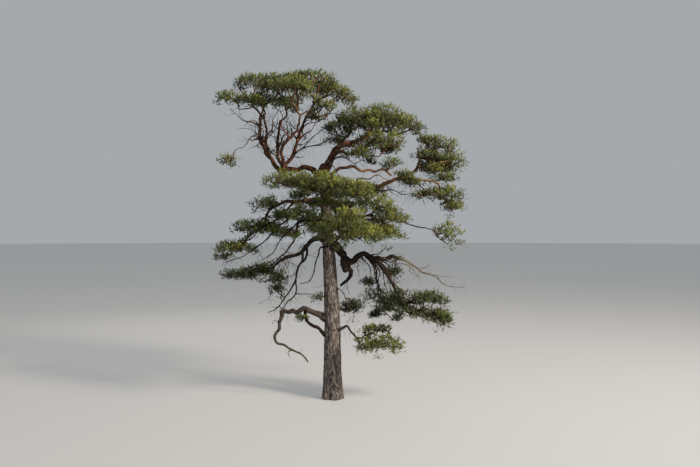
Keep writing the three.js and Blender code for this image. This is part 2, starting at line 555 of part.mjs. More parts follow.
function makeMass([name, carrier], index) {
  const random = seededRandom(index + 1);
  const stem = stemRoute(carrier);
  const twigs = new TwigTree(carrier, stem);
  for (const cloud of allClouds.filter((candidate) => candidate.mass === name)) {
    const joint = twigs.grow(cloud.middle);
    if (!joint) continue;
    twigs.addCore(cloud, random);
    for (let i = 0; i < cloud.sprayCount; i++) {
      const tip = cloud.rimPoint(i, random);
      const side = i % 2 ? 1 : -1;
      const roll = side * SPRAY_TILT * (1 + TILT_SPREAD * (2 * random() - 1));
      if (isOwnSpace(tip, cloud)) twigs.addSpray(cloud, joint, tip, roll);
    }
  }
  const solid = seatOnLimbs(twigs.solid());
  placedPieces.push({ owner: name, solid });
  addMesh(foliage, name, solid, stem[0], NEEDLES);
}

makeTrunk();
BOUGHS.forEach(makeBough);
MASSES.forEach(makeMass);

export default tree;
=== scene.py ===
"""An old open-grown Scots pine: plated bark, crooked boughs, and needles in tufts on fine twigs.

Metres, +Z up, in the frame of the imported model. The tree is seen looking along +Y.
"""

import json
import math

import bpy
import numpy as np
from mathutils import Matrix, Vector

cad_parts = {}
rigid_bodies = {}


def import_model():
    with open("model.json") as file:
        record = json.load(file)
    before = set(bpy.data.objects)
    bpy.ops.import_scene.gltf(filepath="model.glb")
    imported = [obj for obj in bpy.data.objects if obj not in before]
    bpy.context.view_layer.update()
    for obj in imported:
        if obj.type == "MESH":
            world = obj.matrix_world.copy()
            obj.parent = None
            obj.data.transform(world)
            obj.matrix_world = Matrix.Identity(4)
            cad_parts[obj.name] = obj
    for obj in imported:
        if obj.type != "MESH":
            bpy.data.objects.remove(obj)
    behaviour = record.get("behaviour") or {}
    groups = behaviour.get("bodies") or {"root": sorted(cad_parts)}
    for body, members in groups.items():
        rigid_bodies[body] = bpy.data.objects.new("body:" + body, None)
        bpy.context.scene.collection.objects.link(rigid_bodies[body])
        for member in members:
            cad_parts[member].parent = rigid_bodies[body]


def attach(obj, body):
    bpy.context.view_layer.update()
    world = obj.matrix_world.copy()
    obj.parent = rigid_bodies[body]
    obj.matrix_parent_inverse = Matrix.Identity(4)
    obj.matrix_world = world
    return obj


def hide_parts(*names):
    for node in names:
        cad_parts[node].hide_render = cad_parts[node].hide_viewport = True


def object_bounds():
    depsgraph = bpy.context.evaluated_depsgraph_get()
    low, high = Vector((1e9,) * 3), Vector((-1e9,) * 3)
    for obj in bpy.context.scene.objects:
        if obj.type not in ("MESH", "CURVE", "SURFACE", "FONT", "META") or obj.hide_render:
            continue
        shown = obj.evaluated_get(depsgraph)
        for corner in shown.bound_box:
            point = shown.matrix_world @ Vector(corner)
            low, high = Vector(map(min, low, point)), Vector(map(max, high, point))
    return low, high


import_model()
cad_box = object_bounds()
REACH = np.array(cad_box)

bl_info = {
    "name": "Scots Pine",
    "version": (1, 0, 0),
    "blender": (4, 5, 0),
    "location": "3D View > Sidebar > Pine",
    "description": "Dresses the pine with plated bark, twigs and tufts of needles",
    "category": "Object",
}

# Trunk, as in the source
TRUNK_HEIGHT = 9.8
TRUNK_FOOT_RADIUS = 0.435
TRUNK_FORK_RADIUS = 0.19
TRUNK_TAPER = 0.9
FLARE = 0.06
FLARE_HEIGHT = 0.45
BUTTRESSES = 5
BUTTRESS_DEPTH = 0.035
LEAN_START = 3.0
LEAN = 0.41
LEAN_POWER = 1.3
LEAN_BACK = 0.05

# Skin of the trunk, which the source leaves smooth
TRUNK_SIDES = 132
TRUNK_RINGS = 460
TRUNK_CRACK_WIDTH = 0.24      # as in BARKS
FINER_BARK = 0.72             # how much shallower the cracks and plates are at the fork
PLATE_RELIEF = 0.02
GRAIN = (0.04, 0.004)         # size and height of the small lumps on the bark
DENTS = (0.5, 0.012)          # and of the broad ones
FLUTE_ANGLE = math.radians(252)   # where the groove in the root flare runs, darkened as painted shade
FLUTE_WIDTH = 0.17            # radians
FLUTE_DEPTH = 0.04
FLUTE_HEIGHT = 1.1
# painted shade in the groove, as a share of the cracks' dark colour
FLUTE_PAINTED_SHADE = 0.6
FORK_ROUNDING = (0.16, 0.3)   # height over which the trunk's top closes in, and by what share

# Boughs, as in the source: what carries each one, where it starts (metres up the trunk, or the
# share of a bough's length), radii at its foot and tip, its bark, then its bends and its tip
LIMB_TAPER = 0.8
BOUGHS = {
    "high_left_bough": ("trunk", 9.5, 0.125, 0.105, "upper", [
        (-0.85, 0.1, 9.8), (-1.35, 0.1, 9.9), (-1.85, 0.15, 9.8), (-2.25, 0.15, 9.75)]),
    "dome_left_bough": ("high_left_bough", 0.97, 0.1, 0.055, "dome", [
        (-2.6, 0.1, 10.2), (-2.9, 0, 10.65), (-3.1, -0.1, 11.2), (-3.1, -0.2, 11.7),
        (-3.05, -0.3, 12.1)]),
    "dome_right_bough": ("high_left_bough", 0.94, 0.095, 0.05, "dome", [
        (-1.95, 0.2, 10.15), (-1.7, 0.3, 10.5), (-1.55, 0.25, 11.1), (-1.3, 0.1, 11.7),
        (-1.15, 0.1, 12.1)]),
    "dome_front_bough": ("high_left_bough", 0.9, 0.09, 0.055, "upper", [
        (-2.15, -0.25, 10.3), (-2.15, -0.4, 10.65), (-1.7, -0.6, 11.2), (-1.45, -0.65, 11.4)]),
    "dome_back_bough": ("high_left_bough", 0.92, 0.085, 0.05, "dome", [
        (-2.35, 0.5, 10.4), (-2.45, 0.7, 10.95), (-2.35, 0.9, 12.05)]),
    "dome_twin_bough": ("dome_left_bough", 0.27, 0.065, 0.045, "dome", [
        (-2.85, 0.3, 10.85), (-2.9, 0.45, 11.6), (-3.0, 0.5, 12.1)]),
    "crossing_dead_limb": ("dome_right_bough", 0.28, 0.045, 0.018, "dead", [
        (-1.35, 0.35, 10.75), (-0.9, 0.4, 10.9), (-0.45, 0.4, 11.0), (-0.1, 0.4, 11.2)]),
    "outer_left_limb": ("dome_left_bough", 0.68, 0.045, 0.025, "dead", [
        (-3.4, -0.3, 11.2), (-3.75, -0.5, 10.75), (-4.0, -0.6, 10.65), (-4.15, -0.6, 10.45)]),
    "crest_bough": ("trunk", 9.75, 0.17, 0.07, "upper", [
        (-0.2, -0.05, 10.1), (0, -0.1, 10.4), (0.25, -0.2, 10.75), (0.6, -0.2, 10.9),
        (1.05, -0.2, 11.05), (1.45, -0.2, 11.15), (1.6, -0.2, 11.4)]),
    "crest_front_limb": ("crest_bough", 0.3, 0.075, 0.05, "upper", [
        (0.35, -0.7, 10.5), (0.85, -1.0, 10.4), (1.3, -1.2, 10.35)]),
    "crest_back_limb": ("crest_bough", 0.46, 0.075, 0.05, "upper", [
        (0.45, 0.5, 11.15), (0.75, 1.1, 11.55)]),
    "wavy_bough": ("trunk", 9.25, 0.09, 0.045, "tan", [
        (0.2, -0.6, 9.75), (0.9, -0.85, 9.85), (1.25, -0.9, 9.65), (1.55, -0.9, 9.75),
        (1.75, -0.9, 9.65), (2.15, -0.9, 9.75), (2.45, -0.9, 9.5)]),
    "right_bough": ("trunk", 8.85, 0.145, 0.055, "tan", [
        (0.25, -0.2, 9.1), (0.85, -0.35, 9.15), (1.55, -0.45, 9.1), (2.0, -0.5, 9.05),
        (2.45, -0.5, 9.25), (3.05, -0.5, 9.5), (3.45, -0.5, 9.7), (3.65, -0.5, 10.05),
        (3.65, -0.5, 10.5)]),
    "right_outer_limb": ("right_bough", 0.68, 0.075, 0.04, "tan", [
        (3.45, -0.8, 9.35), (4.0, -1.05, 9.25), (4.4, -1.15, 9.15)]),
    "front_high_bough": ("trunk", 8.5, 0.09, 0.05, "upper", [
        (-0.2, -0.8, 8.75), (-0.25, -1.5, 8.85)]),
    "back_high_bough": ("trunk", 8.75, 0.1, 0.05, "upper", [
        (-0.4, 1.0, 9.0), (-0.55, 1.8, 9.2)]),
    "left_bough": ("trunk", 8.4, 0.11, 0.06, "tan", [
        (-0.9, -0.2, 8.5), (-1.55, -0.4, 8.45), (-2.1, -0.5, 8.4), (-2.45, -0.5, 8.2)]),
    "middle_left_bough": ("trunk", 7.4, 0.08, 0.05, "lower", [
        (-0.5, -0.5, 7.65), (-0.8, -0.9, 7.75)]),
    "middle_right_bough": ("trunk", 7.55, 0.095, 0.05, "upper", [
        (0.35, -0.4, 7.75), (1.0, -0.7, 7.75), (1.6, -0.9, 7.85)]),
    "far_right_limb": ("middle_right_bough", 0.7, 0.06, 0.03, "dead", [
        (2.0, -0.45, 7.65), (2.75, -0.2, 7.75), (3.2, 0, 7.5), (3.75, 0.1, 7.35),
        (4.3, 0.2, 7.25)]),
    "front_low_bough": ("trunk", 6.6, 0.09, 0.05, "lower", [
        (0, -0.9, 6.8), (0.25, -1.8, 6.95)]),
    "back_low_bough": ("trunk", 6.95, 0.1, 0.05, "lower", [
        (-0.1, 1.0, 7.15), (0.2, 2.0, 7.35)]),
    "dark_left_bough": ("trunk", 6.8, 0.13, 0.055, "dark", [
        (-0.65, -0.2, 6.85), (-1.0, -0.3, 6.65), (-1.2, -0.35, 6.35), (-1.6, -0.4, 6.15),
        (-1.95, -0.45, 6.05), (-2.3, -0.5, 5.85)]),
    "dead_left_limb": ("dark_left_bough", 0.44, 0.06, 0.02, "dark", [
        (-1.05, -0.6, 6.15), (-1.4, -0.7, 5.7), (-1.55, -0.7, 5.1), (-2.0, -0.7, 4.35),
        (-2.3, -0.7, 3.95), (-2.7, -0.7, 3.75)]),
    "dead_left_twin": ("dark_left_bough", 0.55, 0.055, 0.02, "dark", [
        (-1.3, 0, 5.9), (-1.5, 0.1, 5.55), (-1.6, 0.15, 4.95), (-1.6, 0.15, 4.5),
        (-1.9, 0.15, 4.15), (-2.2, 0.15, 3.8)]),
    "dark_right_bough": ("trunk", 6.6, 0.175, 0.075, "dark", [
        (0.2, -0.1, 6.4), (0.45, -0.15, 6.15), (0.7, -0.2, 5.85), (0.95, -0.25, 5.9),
        (1.25, -0.3, 6.15), (1.55, -0.3, 6.05), (2.05, -0.3, 6.0), (2.55, -0.3, 6.05),
        (3.0, -0.3, 6.0)]),
    "hooked_stub": ("dark_right_bough", 0.3, 0.125, 0.05, "dark", [
        (0.66, -0.25, 5.65), (0.76, -0.3, 5.42), (0.68, -0.12, 5.18), (0.48, 0.12, 4.98),
        (0.36, 0.32, 4.82)]),
    "lower_right_limb": ("dark_right_bough", 0.62, 0.09, 0.05, "dark", [
        (2.0, -0.7, 5.75), (2.25, -0.95, 5.45), (2.5, -1.05, 5.0), (2.7, -1.1, 4.65),
        (2.95, -1.1, 4.25)]),
    "inner_right_limb": ("dark_right_bough", 0.56, 0.05, 0.03, "dark", [
        (1.85, 0, 5.65), (1.9, 0.1, 5.2), (2.0, 0.1, 4.75)]),
    "dead_right_limb": ("dark_right_bough", 0.99, 0.06, 0.015, "dead", [
        (3.5, -0.3, 5.7), (3.8, -0.3, 5.45), (4.15, -0.3, 5.35), (4.5, -0.3, 5.15),
        (4.75, -0.3, 4.9), (5.2, -0.3, 4.8), (5.65, -0.3, 4.8)]),
    "loop_bough": ("trunk", 3.35, 0.15, 0.09, "grey", [
        (-0.45, 0, 3.5), (-0.8, 0, 3.7), (-1.2, 0, 3.9), (-1.55, 0, 3.7), (-1.9, 0, 3.75),
        (-2.2, 0, 3.7)]),
    "loop_tail": ("loop_bough", 0.98, 0.09, 0.04, "grey", [
        (-2.25, -0.05, 3.35), (-2.3, -0.1, 3.0), (-2.5, -0.15, 2.7), (-2.35, -0.2, 2.4),
        (-2.0, -0.2, 2.3), (-1.7, -0.2, 2.1), (-1.35, -0.2, 1.95), (-1.05, -0.2, 1.6)]),
    "loop_prop": ("trunk", 2.45, 0.085, 0.07, "dark", [
        (-0.35, -0.1, 2.75), (-0.55, -0.1, 3.0), (-0.85, -0.1, 3.15), (-1.1, -0.1, 3.35),
        (-1.18, 0, 3.85)]),
    "lowest_right_bough": ("trunk", 2.8, 0.08, 0.04, "grey", [
        (0.4, -0.2, 3.0), (0.6, -0.3, 3.15), (0.75, -0.4, 2.95), (1.05, -0.5, 2.65)]),
}

# Thin limbs that the source leaves out, in the same way
SIDE_LIMBS = {
    "left_dropping_limb": ("middle_left_bough", 0.6, 0.058, 0.022, "dark", [
        (-1.4, -0.95, 7.5), (-1.49, -0.9, 6.97), (-1.87, -0.8, 6.4), (-2.2, -0.7, 6.05),
        (-2.55, -0.65, 5.75), (-2.95, -0.6, 5.45)]),
    "inner_dropping_limb": ("trunk", 6.5, 0.045, 0.018, "dark", [
        (-0.5, -0.45, 6.45), (-0.65, -0.55, 6.0), (-0.77, -0.55, 5.5), (-0.95, -0.5, 5.08),
        (-1.36, -0.45, 4.94)]),
    "twin_side_limb": ("dead_left_twin", 0.7, 0.028, 0.01, "dark", [
        (-1.24, 0.1, 4.47), (-0.85, 0.05, 4.45), (-0.55, -0.05, 4.25)]),
    "left_fine_limb": ("dark_left_bough", 0.78, 0.024, 0.008, "dark", [
        (-2.48, -0.5, 5.6), (-2.53, -0.5, 4.95), (-2.72, -0.5, 4.3), (-3.1, -0.5, 4.13)]),
    "blunt_stub": ("dark_right_bough", 0.27, 0.135, 0.11, "dark", [
        (0.52, -0.36, 5.75), (0.55, -0.42, 5.52)]),
    "hook_twig": ("hooked_stub", 0.4, 0.03, 0.012, "dark", [
        (0.86, -0.35, 5.3), (0.64, -0.32, 5.02), (0.63, -0.3, 4.8), (0.73, -0.3, 4.5)]),
    "right_dropping_limb": ("dark_right_bough", 0.6, 0.035, 0.012, "dark", [
        (2.0, -0.45, 5.5), (1.95, -0.5, 5.13), (1.95, -0.5, 4.8), (2.25, -0.5, 4.5)]),
    "middle_dropping_limb": ("dark_right_bough", 0.5, 0.03, 0.01, "dark", [
        (1.6, -0.2, 5.6), (1.62, -0.2, 5.1), (1.5, -0.15, 4.75)]),
    "lower_right_tip": ("lower_right_limb", 0.97, 0.05, 0.018, "lower", [
        (3.15, -1.4, 4.05), (3.4, -1.65, 3.8), (3.85, -1.8, 3.62), (4.3, -1.8, 3.45),
        (4.8, -1.7, 3.27)]),
    "dead_right_fork": ("dead_right_limb", 0.45, 0.02, 0.008, "dead", [
        (4.6, -0.35, 5.27), (5.15, -0.4, 5.26)]),
    "dead_right_spur": ("dead_right_limb", 0.25, 0.025, 0.008, "dead", [
        (4.0, -0.4, 5.65), (4.25, -0.45, 5.85)]),
    "dead_right_branch": ("dark_right_bough", 0.78, 0.045, 0.01, "dead", [
        (2.65, -0.7, 5.82), (3.02, -0.75, 5.8), (3.37, -0.8, 5.59), (3.61, -0.8, 5.29),
        (3.8, -0.8, 4.97)]),
    "dark_right_spur": ("dark_right_bough", 0.5, 0.04, 0.01, "dark", [
        (1.95, -0.55, 6.22), (2.13, -0.6, 6.36), (2.31, -0.65, 6.58)]),
    "dead_right_twist": ("dark_right_bough", 0.93, 0.04, 0.014, "dead", [
        (3.1, -0.45, 5.95), (3.3, -0.55, 5.7), (3.25, -0.6, 5.5), (3.5, -0.6, 5.35)]),
    "trunk_right_twig": ("trunk", 4.85, 0.036, 0.012, "lower", [
        (0.42, -0.25, 4.6), (0.62, -0.3, 4.2), (0.82, -0.3, 3.77)]),
    "crest_dead_twig": ("crest_bough", 0.12, 0.038, 0.02, "dead", [
        (-0.2, -0.75, 10.15), (0.06, -0.88, 9.86), (0.22, -0.9, 9.55), (0.32, -0.9, 9.35)]),
    "crest_pale_twig": ("crossing_dead_limb", 0.55, 0.03, 0.01, "dead", [
        (-0.5, -0.35, 10.85), (-0.18, -0.5, 11.05), (-0.02, -0.6, 11.2), (0.36, -0.65, 11.53)]),
    "dome_left_twig": ("dome_left_bough", 0.6, 0.026, 0.009, "dead", [
        (-3.45, -0.2, 11.5), (-3.8, -0.25, 11.55), (-4.12, -0.25, 11.52)]),
    "dome_upper_twig": ("dome_left_bough", 0.85, 0.024, 0.009, "dead", [
        (-3.42, -0.3, 11.9), (-3.8, -0.35, 11.57)]),
    "right_under_twig": ("right_bough", 0.5, 0.028, 0.01, "dead", [
        (1.98, -0.6, 8.95), (2.3, -0.65, 8.5)]),
    "right_under_twin": ("right_bough", 0.56, 0.022, 0.008, "dead", [
        (2.45, -0.6, 8.85), (2.85, -0.65, 8.6)]),
    "right_far_twig": ("right_bough", 0.64, 0.03, 0.012, "dead", [
        (3.38, -0.9, 9.3), (3.46, -1.2, 8.96), (3.7, -1.4, 8.61), (3.8, -1.5, 8.27)]),
    "right_outer_twig": ("right_outer_limb", 0.6, 0.026, 0.01, "dead", [
        (4.05, -1.35, 8.92), (4.13, -1.5, 8.64), (4.32, -1.6, 8.5)]),
    "loop_hanging_twig": ("loop_tail", 0.15, 0.024, 0.01, "grey", [
        (-2.5, -0.2, 3.36), (-2.58, -0.22, 3.2)]),
    "loop_corner_twig": ("loop_bough", 0.97, 0.028, 0.01, "dark", [
        (-2.3, -0.2, 3.95), (-2.42, -0.25, 3.9), (-2.58, -0.25, 3.96)]),
    "loop_tail_twig": ("loop_tail", 0.72, 0.03, 0.014, "grey", [
        (-1.89, -0.22, 2.0), (-1.78, -0.25, 1.76)]),
    "dome_inner_limb": ("dome_right_bough", 0.5, 0.05, 0.009, "dome", [
        (-1.3, 0.35, 11.35), (-0.95, 0.4, 11.55), (-0.75, 0.45, 11.9), (-0.35, 0.5, 12.1)]),
    "dome_outer_limb": ("dome_right_bough", 0.72, 0.04, 0.008, "dome", [
        (-1.1, -0.1, 11.75), (-0.6, -0.2, 11.85), (-0.2, -0.25, 12.1)]),
    "dome_middle_limb": ("dome_back_bough", 0.45, 0.045, 0.009, "dome", [
        (-2.2, 0.5, 11.25), (-1.95, 0.4, 11.55), (-2.0, 0.3, 11.9), (-1.75, 0.2, 12.3)]),
    "dome_crossing_limb": ("dome_left_bough", 0.55, 0.045, 0.009, "dome", [
        (-2.8, -0.3, 11.25), (-2.55, -0.45, 11.5), (-2.5, -0.5, 11.9), (-2.25, -0.5, 12.3)]),
    "dome_low_limb": ("dome_left_bough", 0.82, 0.045, 0.01, "dome", [
        (-3.4, -0.4, 11.8), (-3.75, -0.5, 11.85), (-4.1, -0.5, 12.15), (-4.35, -0.5, 12.35)]),
    "dome_fork_limb": ("dome_front_bough", 0.7, 0.05, 0.01, "dome", [
        (-1.85, -0.75, 11.2), (-2.1, -0.9, 11.5), (-2.05, -1.0, 11.95), (-2.3, -1.1, 12.3)]),
    "dome_rim_limb": ("crossing_dead_limb", 0.3, 0.032, 0.007, "dome", [
        (-0.85, 0.3, 11.25), (-0.55, 0.2, 11.5), (-0.1, 0.1, 11.75), (0.2, 0.05, 12.05)]),
    "right_upper_limb": ("right_bough", 0.3, 0.05, 0.009, "tan", [
        (1.1, -0.7, 9.4), (1.5, -0.85, 9.35), (1.9, -0.9, 9.5), (2.35, -0.95, 9.3),
        (2.8, -1.0, 9.35)]),
    "right_lower_limb": ("right_bough", 0.42, 0.045, 0.006, "dark", [
        (2.0, -0.75, 8.85), (2.5, -0.85, 8.9), (2.95, -0.9, 8.7), (3.4, -0.9, 8.75),
        (3.75, -0.9, 8.55)]),
    "right_hanging_limb": ("right_outer_limb", 0.35, 0.034, 0.006, "dark", [
        (3.75, -0.95, 9.0), (4.0, -1.0, 8.8), (4.15, -1.0, 8.45), (4.4, -1.0, 8.3)]),
    "right_inner_limb": ("right_bough", 0.86, 0.05, 0.012, "tan", [
        (4.04, -0.85, 9.88), (4.45, -0.9, 10.02), (4.85, -0.9, 10.1)]),
    "crest_fork_limb": ("crest_bough", 0.2, 0.045, 0.008, "upper", [
        (0.45, -0.6, 10.3), (0.7, -0.75, 10.17), (0.95, -0.8, 10.0), (1.25, -0.85, 10.12),
        (1.5, -0.9, 9.98)]),
    "crest_upper_limb": ("crest_bough", 0.45, 0.05, 0.009, "tan", [
        (0.85, -1.1, 10.75), (1.15, -1.75, 10.82), (1.45, -2.0, 10.95), (1.52, -2.05, 11.2),
        (1.5, -2.0, 11.5)]),
    "crest_lower_limb": ("crest_bough", 0.38, 0.045, 0.008, "tan", [
        (0.55, -1.2, 10.55), (0.85, -1.75, 10.62), (1.2, -2.15, 10.68), (1.45, -2.3, 10.9)]),
    "crest_side_limb": ("crest_bough", 0.5, 0.05, 0.009, "upper", [
        (0.9, -0.45, 10.75), (1.4, -0.6, 10.6), (1.85, -0.7, 10.65), (2.3, -0.8, 10.5)]),
    "lower_right_twin": ("dark_right_bough", 0.66, 0.05, 0.009, "dark", [
        (2.2, -0.6, 5.7), (2.35, -0.75, 5.3), (2.65, -0.8, 4.95), (2.9, -0.85, 4.55),
        (3.3, -0.9, 4.25), (3.7, -0.95, 4.2)]),
    "lower_right_fan": ("lower_right_limb", 0.6, 0.04, 0.007, "lower", [
        (2.85, -1.4, 4.75), (3.15, -1.65, 4.45), (3.55, -1.75, 4.2), (4.0, -1.75, 4.0),
        (4.35, -1.7, 3.85)]),
    "first_hanging_limb": ("dark_right_bough", 0.57, 0.032, 0.007, "dark", [
        (1.76, -0.4, 5.65), (1.8, -0.45, 5.3), (1.88, -0.45, 4.95), (1.9, -0.45, 4.6),
        (2.05, -0.45, 4.25)]),
    "second_hanging_limb": ("dark_right_bough", 0.64, 0.032, 0.007, "dark", [
        (2.1, -0.5, 5.7), (2.17, -0.55, 5.35), (2.2, -0.6, 5.0), (2.3, -0.6, 4.7),
        (2.32, -0.6, 4.3)]),
    "third_hanging_limb": ("dark_right_bough", 0.7, 0.028, 0.006, "dark", [
        (2.4, -0.4, 5.7), (2.38, -0.45, 5.4), (2.46, -0.5, 5.1), (2.45, -0.5, 4.8),
        (2.6, -0.5, 4.4)]),
    "left_fan_limb": ("left_bough", 0.6, 0.05, 0.016, "dark", [
        (-1.95, -0.75, 8.0), (-2.4, -0.95, 7.6), (-2.95, -1.05, 7.3), (-3.3, -1.05, 6.9),
        (-3.8, -1.0, 6.65), (-4.35, -0.9, 6.3)]),
    "left_fan_twin": ("left_bough", 0.42, 0.05, 0.016, "dark", [
        (-1.5, -0.75, 8.1), (-1.85, -0.95, 7.65), (-2.35, -1.0, 7.25), (-2.75, -1.0, 6.8),
        (-3.3, -0.95, 6.4), (-3.75, -0.9, 6.1), (-4.4, -0.8, 5.9)]),
    "left_inner_fan": ("middle_left_bough", 0.85, 0.045, 0.015, "dark", [
        (-1.3, -1.2, 7.6), (-1.7, -1.35, 7.2), (-2.15, -1.3, 6.75), (-2.4, -1.2, 6.3),
        (-2.9, -1.1, 5.95)]),
}

# Masses of needles, as in the source, but for two clouds of lower_right_needles that stand a little
# further left: part of the crown, the bough that carries each one, then its clouds as flattened
# balls, each with its middle, half width, half depth and half height
MASSES = {
    "dome_left_needles": ("dome", "dome_left_bough", [
        (-3.45, -0.3, 13.35, 0.72, 0.85, 0.52),
        (-4.35, -0.4, 12.7, 0.8, 0.7, 0.4),
        (-3.25, -0.6, 12.5, 0.5, 0.5, 0.33)]),
    "dome_rear_needles": ("dome", "dome_twin_bough", [
        (-3.0, 1.0, 12.95, 0.65, 0.75, 0.42),
        (-2.6, 1.6, 13.65, 0.95, 0.95, 0.5)]),
    "dome_top_needles": ("dome", "dome_back_bough", [
        (-2.05, 0.9, 12.8, 0.6, 0.6, 0.38),
        (-2.2, 0, 13.45, 0.92, 0.95, 0.56)]),
    "dome_crown_needles": ("dome", "dome_front_bough", [
        (-1.3, -1.1, 12.5, 0.75, 0.7, 0.4),
        (-1.6, -1.6, 12.95, 0.9, 0.85, 0.5),
        (-0.9, -0.35, 13.5, 0.95, 0.95, 0.56)]),
    "dome_right_needles": ("dome", "dome_right_bough", [
        (-0.3, -0.7, 12.3, 0.65, 0.65, 0.33),
        (0.05, 0.2, 13.0, 0.82, 0.95, 0.55),
        (0.7, 0, 12.65, 0.47, 0.7, 0.42),
        (-0.7, 1.4, 13.5, 0.9, 0.85, 0.5)]),
    "outer_left_needles": ("dome", "outer_left_limb", [
        (-4.5, -0.6, 10.05, 0.4, 0.4, 0.36)]),
    "crest_top_needles": ("crest", "crest_bough", [
        (2.15, -0.3, 12.0, 0.98, 0.95, 0.63),
        (3.1, -0.4, 11.55, 0.82, 0.85, 0.58),
        (1.3, -0.9, 11.75, 0.78, 0.75, 0.55)]),
    "crest_rear_needles": ("crest", "crest_back_limb", [
        (0.95, 0.9, 12.05, 0.72, 0.95, 0.58),
        (0.4, 0.6, 11.55, 0.65, 0.65, 0.62),
        (2.4, 1.4, 12.0, 0.95, 0.85, 0.55)]),
    "crest_under_needles": ("crest", "crest_front_limb", [
        (1.95, -1.45, 10.75, 0.98, 0.85, 0.58),
        (1.1, -1.85, 10.25, 0.6, 0.5, 0.34)]),
    "wavy_needles": ("crest", "wavy_bough", [
        (2.5, -0.95, 9.9, 0.45, 0.45, 0.38)]),
    "right_top_needles": ("crest", "right_bough", [
        (4.5, -0.4, 10.7, 0.78, 0.85, 0.58),
        (5.12, -0.3, 10.0, 0.5, 0.9, 0.62),
        (4.5, 0.45, 9.9, 0.85, 0.75, 0.52)]),
    "right_low_needles": ("crest", "right_outer_limb", [
        (4.7, -1.1, 8.65, 0.72, 0.75, 0.46),
        (5.05, -0.9, 8.15, 0.45, 0.55, 0.4)]),
    "front_high_needles": ("middle", "front_high_bough", [
        (-0.45, -2.3, 9.0, 0.9, 0.85, 0.58),
        (0.75, -2.35, 8.75, 0.85, 0.8, 0.52),
        (-1.75, -1.7, 9.1, 0.95, 0.8, 0.52)]),
    "back_high_needles": ("rear", "back_high_bough", [
        (0.05, 3.0, 9.2, 1.0, 0.95, 0.55),
        (-1.4, 2.2, 9.3, 0.9, 0.85, 0.45),
        (1.4, 2.4, 8.95, 1.0, 0.85, 0.5)]),
    "left_droop_needles": ("middle", "left_bough", [
        (-2.75, -0.6, 8.2, 0.7, 0.7, 0.48),
        (-2.6, -0.7, 7.2, 0.65, 0.55, 0.38),
        (-3.5, -0.6, 7.25, 0.75, 0.75, 0.42),
        (-4.1, -0.5, 6.4, 0.85, 0.7, 0.42)]),
    "middle_left_needles": ("middle", "middle_left_bough", [
        (-1.3, -1.3, 7.8, 0.9, 0.85, 0.6),
        (-1.75, -1.05, 7.05, 0.6, 0.55, 0.36)]),
    "middle_right_needles": ("middle", "middle_right_bough", [
        (1.6, -1.45, 8.15, 1.0, 0.9, 0.6),
        (2.45, -1.0, 7.65, 0.8, 0.8, 0.55),
        (2.2, -1.0, 6.95, 0.8, 0.8, 0.55)]),
    "far_right_needles": ("middle", "far_right_limb", [
        (5.0, 0.3, 6.9, 0.66, 0.7, 0.68)]),
    "front_low_needles": ("middle", "front_low_bough", [
        (0.15, -2.6, 7.0, 0.85, 0.8, 0.58),
        (1.2, -2.9, 6.9, 0.85, 0.8, 0.55),
        (0.65, -3.4, 7.5, 0.9, 0.8, 0.52)]),
    "back_low_needles": ("rear", "back_low_bough", [
        (0.5, 3.2, 7.45, 1.0, 0.95, 0.55),
        (1.8, 2.6, 7.25, 1.0, 0.85, 0.52),
        (-0.75, 2.7, 7.5, 0.8, 0.75, 0.45)]),
    "low_left_needles": ("low", "dark_left_bough", [
        (-2.95, -0.5, 5.6, 0.45, 0.45, 0.27),
        (-3.8, -0.5, 5.3, 0.85, 0.65, 0.35),
        (-2.4, -0.4, 5.1, 0.55, 0.55, 0.5)]),
    "lower_right_needles": ("low", "lower_right_limb", [
        (3.3, -1.2, 3.8, 0.62, 0.6, 0.38),
        (3.95, -1.2, 4.33, 0.85, 0.75, 0.42),
        (4.3, -1.2, 3.65, 0.66, 0.65, 0.4)]),
    "inner_right_needles": ("low", "inner_right_limb", [
        (1.8, 0.1, 4.35, 0.52, 0.55, 0.4),
        (2.45, 0.2, 3.8, 0.68, 0.55, 0.5)]),
    "trunk_needles": ("low", "trunk", [
        (0.85, 0.7, 3.8, 0.6, 0.55, 0.42)]),
    "lowest_needles": ("middle", "lowest_right_bough", [
        (1.85, -0.6, 3.0, 0.6, 0.5, 0.25),
        (2.0, -0.9, 2.35, 1.05, 0.8, 0.55)]),
}
TRUNK_NEEDLES_HEIGHT = 3.95   # where the arm of trunk_needles leaves the trunk

